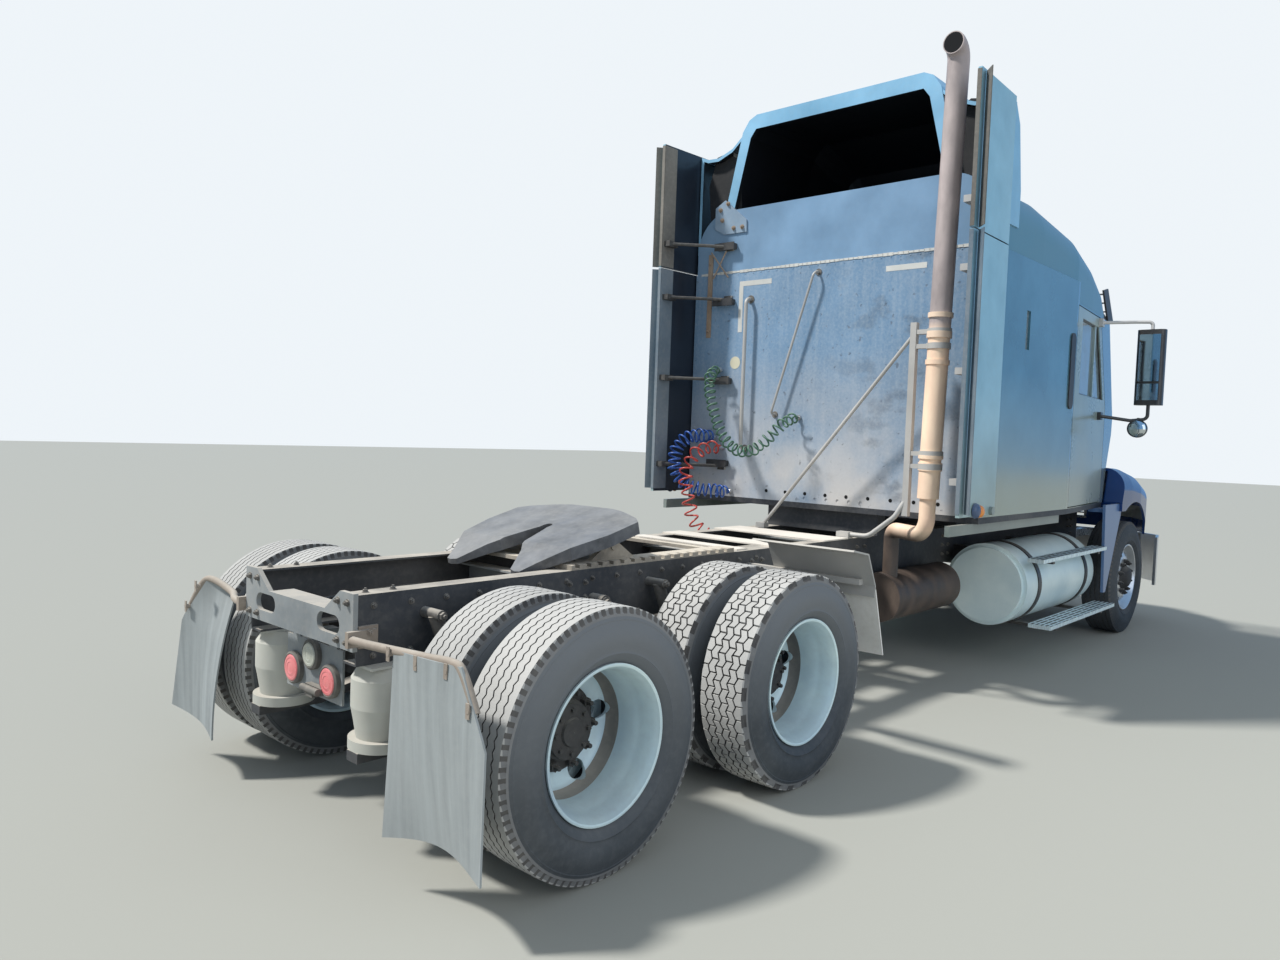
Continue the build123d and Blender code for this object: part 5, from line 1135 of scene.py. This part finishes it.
def make_window_trim():
    """Seals around the door windows and the dark rounded strip behind each."""
    for side_name, side in SIDES.items():
        low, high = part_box(f"door_glass_{side_name}")
        narrow, wide = sorted((abs(low[1]), abs(high[1])))

        def on_door(share, z):
            """Place on the window's face, at a share of its length from its rear edge."""
            y = wide + (narrow - wide) * share + 0.004
            return Vector((low[0] + share * (high[0] - low[0]), side * y, z))

        foot = low[2]
        top = high[2]
        seal = Forms()
        for start, end in (((0, foot), (1, foot)), ((0, top), (0.66, top)), ((0, foot), (0, top)),
                           ((0.66, top), (1, foot))):
            seal.tube([on_door(*start), on_door(*end)], 0.011, 8)
        seal.finish(f"window_seal_{side_name}", f"door_body_{side_name}", "mirror_black", "black", angle=40)

        outline = []
        for a in around(24, 0.5):
            z = STRIP_Z + math.copysign(STRIP_HALF_HEIGHT, math.sin(a)) + STRIP_R * math.sin(a)
            outline.append(at(STRIP_X + STRIP_R * math.cos(a), side * CAB_HALF_W, z))
        strip = Forms()
        strip.plate(outline, (0, side * STRIP_OUT, 0))
        strip.finish(f"cab_strip_{side_name}", "chassis", "mirror_black", "black", angle=40)


def make_stack_bands():
    """Clamps and pipe joints around the exhaust stack, and its dark mouth: soot and painted shade inside the pipe.
    """
    bands = Forms()
    for z, width, radius, mark in STACK_BANDS:
        z0 = z - width / 2
        z1 = z + width / 2
        bands.rod(at(STACK_X, stack_y(z0), z0), at(STACK_X, stack_y(z1), z1), radius, 36, mark)
    bands.finish("stack_bands", "chassis", "stack_steel", "band", "stack")
    # The mouth is a dark disc: soot and painted shade inside the pipe.
    mouth = Forms()
    y = stack_y(MOUTH_Z)
    mouth.rod(at(STACK_X - 0.0905, y, MOUTH_Z), at(STACK_X - 0.0900, y, MOUTH_Z), 0.060, 32)
    mouth.finish("stack_mouth", "chassis", "mirror_black", "opening_shade")


def make_extender_edges():
    """Rubber strips on the extenders' trailing edges: a flat inner band and a lip that turns outward."""
    low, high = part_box("side_extenders")
    rear = low[0]
    outer = high[1]
    bands = ((0.001, 0.175, -0.0285, -0.0235), (-0.004, 0.004, -0.0005, -0.026))
    lip = ((0.060, 0.001), (-0.006, 0.060), (-0.002, 0.064), (0.064, 0.006))
    strips = Forms()
    for side in (1, -1):
        for z0, z1, mark in ((low[2] + 0.02, SEAM_Z + 0.003, 1), (SEAM_Z + 0.020, high[2] - 0.01, 0)):
            for x0, x1, out0, out1 in bands:
                strips.box((rear + x0, side * (outer + out0), z0), (rear + x1, side * (outer + out1), z1), mark)
            outline = [Vector((rear + x, side * (outer + out), z0)) for x, out in lip]
            strips.plate(outline, (0, 0, z1 - z0), mark)
    strips.finish("extender_strips", "chassis", "bag_rubber", "rubber", "edge_strip")


# Finish of each solid, and the radius of its edges where they are softened
NODE_FINISHES = (
    ("air_springs", "bag", 0.006), ("back_wall_brackets", "bracket"), ("bumper", "bright", 0.004),
    ("cab_back_wall", "wall"), ("cab_floor", "frame", 0.003), ("cab_front", "cab", 0.004), ("cab_glass", "glass"),
    ("cab_roof", "roof"), ("cab_sides", "cab", 0.003), ("crossmembers", "plate", 0.003),
    ("dashboard", "dash", 0.008), ("deck_plates", "deck", 0.001), ("door_glass_left", "glass"),
    ("door_glass_right", "glass"), ("door_left", "door", 0.004), ("door_right", "door", 0.004),
    ("driveline", "frame", 0.004), ("engine", "engine", 0.01), ("exhaust", "stack"),
    ("fifth_wheel_base", "slide", 0.002), ("fifth_wheel_plate", "coupling", 0.006), ("frame_rails", "frame", 0.004),
    ("fuel_tanks", "tank"), ("grille", "bright", 0.002), ("headlamps", "clear_lens", 0.003), ("hood", "hood"),
    ("knuckle_left", "steel", 0.004), ("knuckle_right", "steel", 0.004), ("lamps", "lamp_base"),
    ("mirror_left", "mirror_case"), ("mirror_right", "mirror_case"), ("quarter_fenders", "fender"),
    ("roof_fairing", "fairing"), ("seats", "seat", 0.03), ("side_extenders", "extender", 0.002),
    ("skirts", "skirt", 0.002), ("steer_axle", "frame", 0.004), ("steps", "step", 0.002), ("sun_visor", "visor"),
    ("suspension", "frame", 0.003), ("tank_brackets", "black"), ("tie_rod", "frame"),
)


def set_finish(node, key, bevel=None):
    obj = nodes[node]
    obj.data.materials.clear()
    obj.data.materials.append(finishes[key])
    obj.data.shade_smooth()
    obj.data.set_sharp_from_angle(angle=math.radians(30))
    if bevel:
        modifier = obj.modifiers.new("soft_edge", "BEVEL")
        modifier.width = bevel
        modifier.segments = 2
        modifier.limit_method = "ANGLE"
        modifier.angle_limit = math.radians(40)
        modifier.harden_normals = True


# Stage, light and camera

def make_floor():
    half = 60.0
    forms = Forms()
    forms.add([(-half, -half, 0), (half, -half, 0), (half, half, 0), (-half, half, 0)], [(0, 1, 2, 3)])
    Finish("floor").set(Base_Color=(0.355, 0.36, 0.33), Roughness=0.9)
    floor = placed("floor", forms.mesh("floor"))
    floor.data.materials.append(finishes["floor"])


def make_sky():
    """Pale sky for the camera and through glass, a deeper one in mirrors, and a soft one that gives light."""
    world = bpy.data.worlds.new("studio")
    bpy.context.scene.world = world
    world.use_nodes = True
    sky = Tree(world.node_tree)
    soft = sky.tree.nodes["Background"]
    sky.feed(soft.inputs["Color"], (0.80, 0.90, 1.0))
    sky.feed(soft.inputs["Strength"], 0.52)
    pale = sky.node("Background", {"Color": (0.86, 0.91, 0.95), "Strength": 1.0})
    deep = sky.node("Background", {"Color": (0.26, 0.50, 0.86), "Strength": 0.85})
    rays = sky.node("LightPath", {}).outputs
    seen = sky.node("Math", {0: rays["Is Camera Ray"], 1: rays["Is Transmission Ray"]}, operation="MAXIMUM")
    shown = sky.node("MixShader", {0: seen.outputs[0], 1: soft.outputs[0], 2: pale.outputs[0]})
    mirrored = sky.node("MixShader", {0: rays["Is Glossy Ray"], 1: shown.outputs[0], 2: deep.outputs[0]})
    sky.feed(sky.tree.nodes["World Output"].inputs["Surface"], mirrored.outputs[0])


def make_lights():
    """Sun from the rear left, and a wide fill light on the truck's right side."""
    light = bpy.data.lights.new("sun", "SUN")
    light.energy = 4.2
    light.angle = math.radians(6)
    light.color = (1.0, 0.97, 0.92)
    placed("sun", light).rotation_euler = Vector((0.55, -0.50, -0.95)).to_track_quat("-Z", "Y").to_euler()

    fill = bpy.data.lights.new("fill", "AREA")
    fill.energy = 230
    fill.size = 8.0
    lamp = placed("fill", fill)
    lamp.location = at(0.5, -9.0, 4.5)
    lamp.rotation_euler = (at(3.0, 0, 1.4) - lamp.location).to_track_quat("-Z", "Y").to_euler()


def make_camera():
    yaw = math.radians(CAMERA_YAW)
    pitch = math.radians(CAMERA_PITCH)
    roll = math.radians(CAMERA_ROLL)
    ahead = Vector((math.cos(pitch) * math.cos(yaw), math.cos(pitch) * math.sin(yaw), math.sin(pitch)))
    right = ahead.cross(UPWARD).normalized()
    up = right.cross(ahead)
    right, up = math.cos(roll) * right + math.sin(roll) * up, math.cos(roll) * up - math.sin(roll) * right
    data = bpy.data.cameras.new("camera")
    data.sensor_fit = "HORIZONTAL"
    data.sensor_width = SENSOR_WIDTH
    data.lens = FOCAL_PIXELS * SENSOR_WIDTH / IMAGE_WIDTH
    data.clip_end = 500
    camera = placed("camera", data)
    turn = Matrix((right, up, -ahead)).transposed()
    camera.matrix_world = Matrix.Translation(at(*CAMERA_PLACE)) @ turn.to_4x4()
    bpy.context.scene.camera = camera


make_paints()
wall_finish()
make_metals()
step_finish()
stack_finish()
make_rubbers()
make_plastics()
glass_finish()
mirror_finish()
make_camera()
make_lines()
for row in NODE_FINISHES:
    set_finish(*row)
make_wheels()
make_bolts()
make_dampers()
make_frame_lines()
make_flaps()
make_hangers()
make_clips()
make_tail_lamps()
make_mirror_faces()
make_window_trim()
make_stack_bands()
make_rivets()
make_tapes()
make_wall_corner()
make_wall_holes()
make_side_markers()
make_rail_feet()
make_extender_edges()
make_floor()
make_sky()
make_lights()
bpy.context.scene.view_settings.view_transform = "Standard"
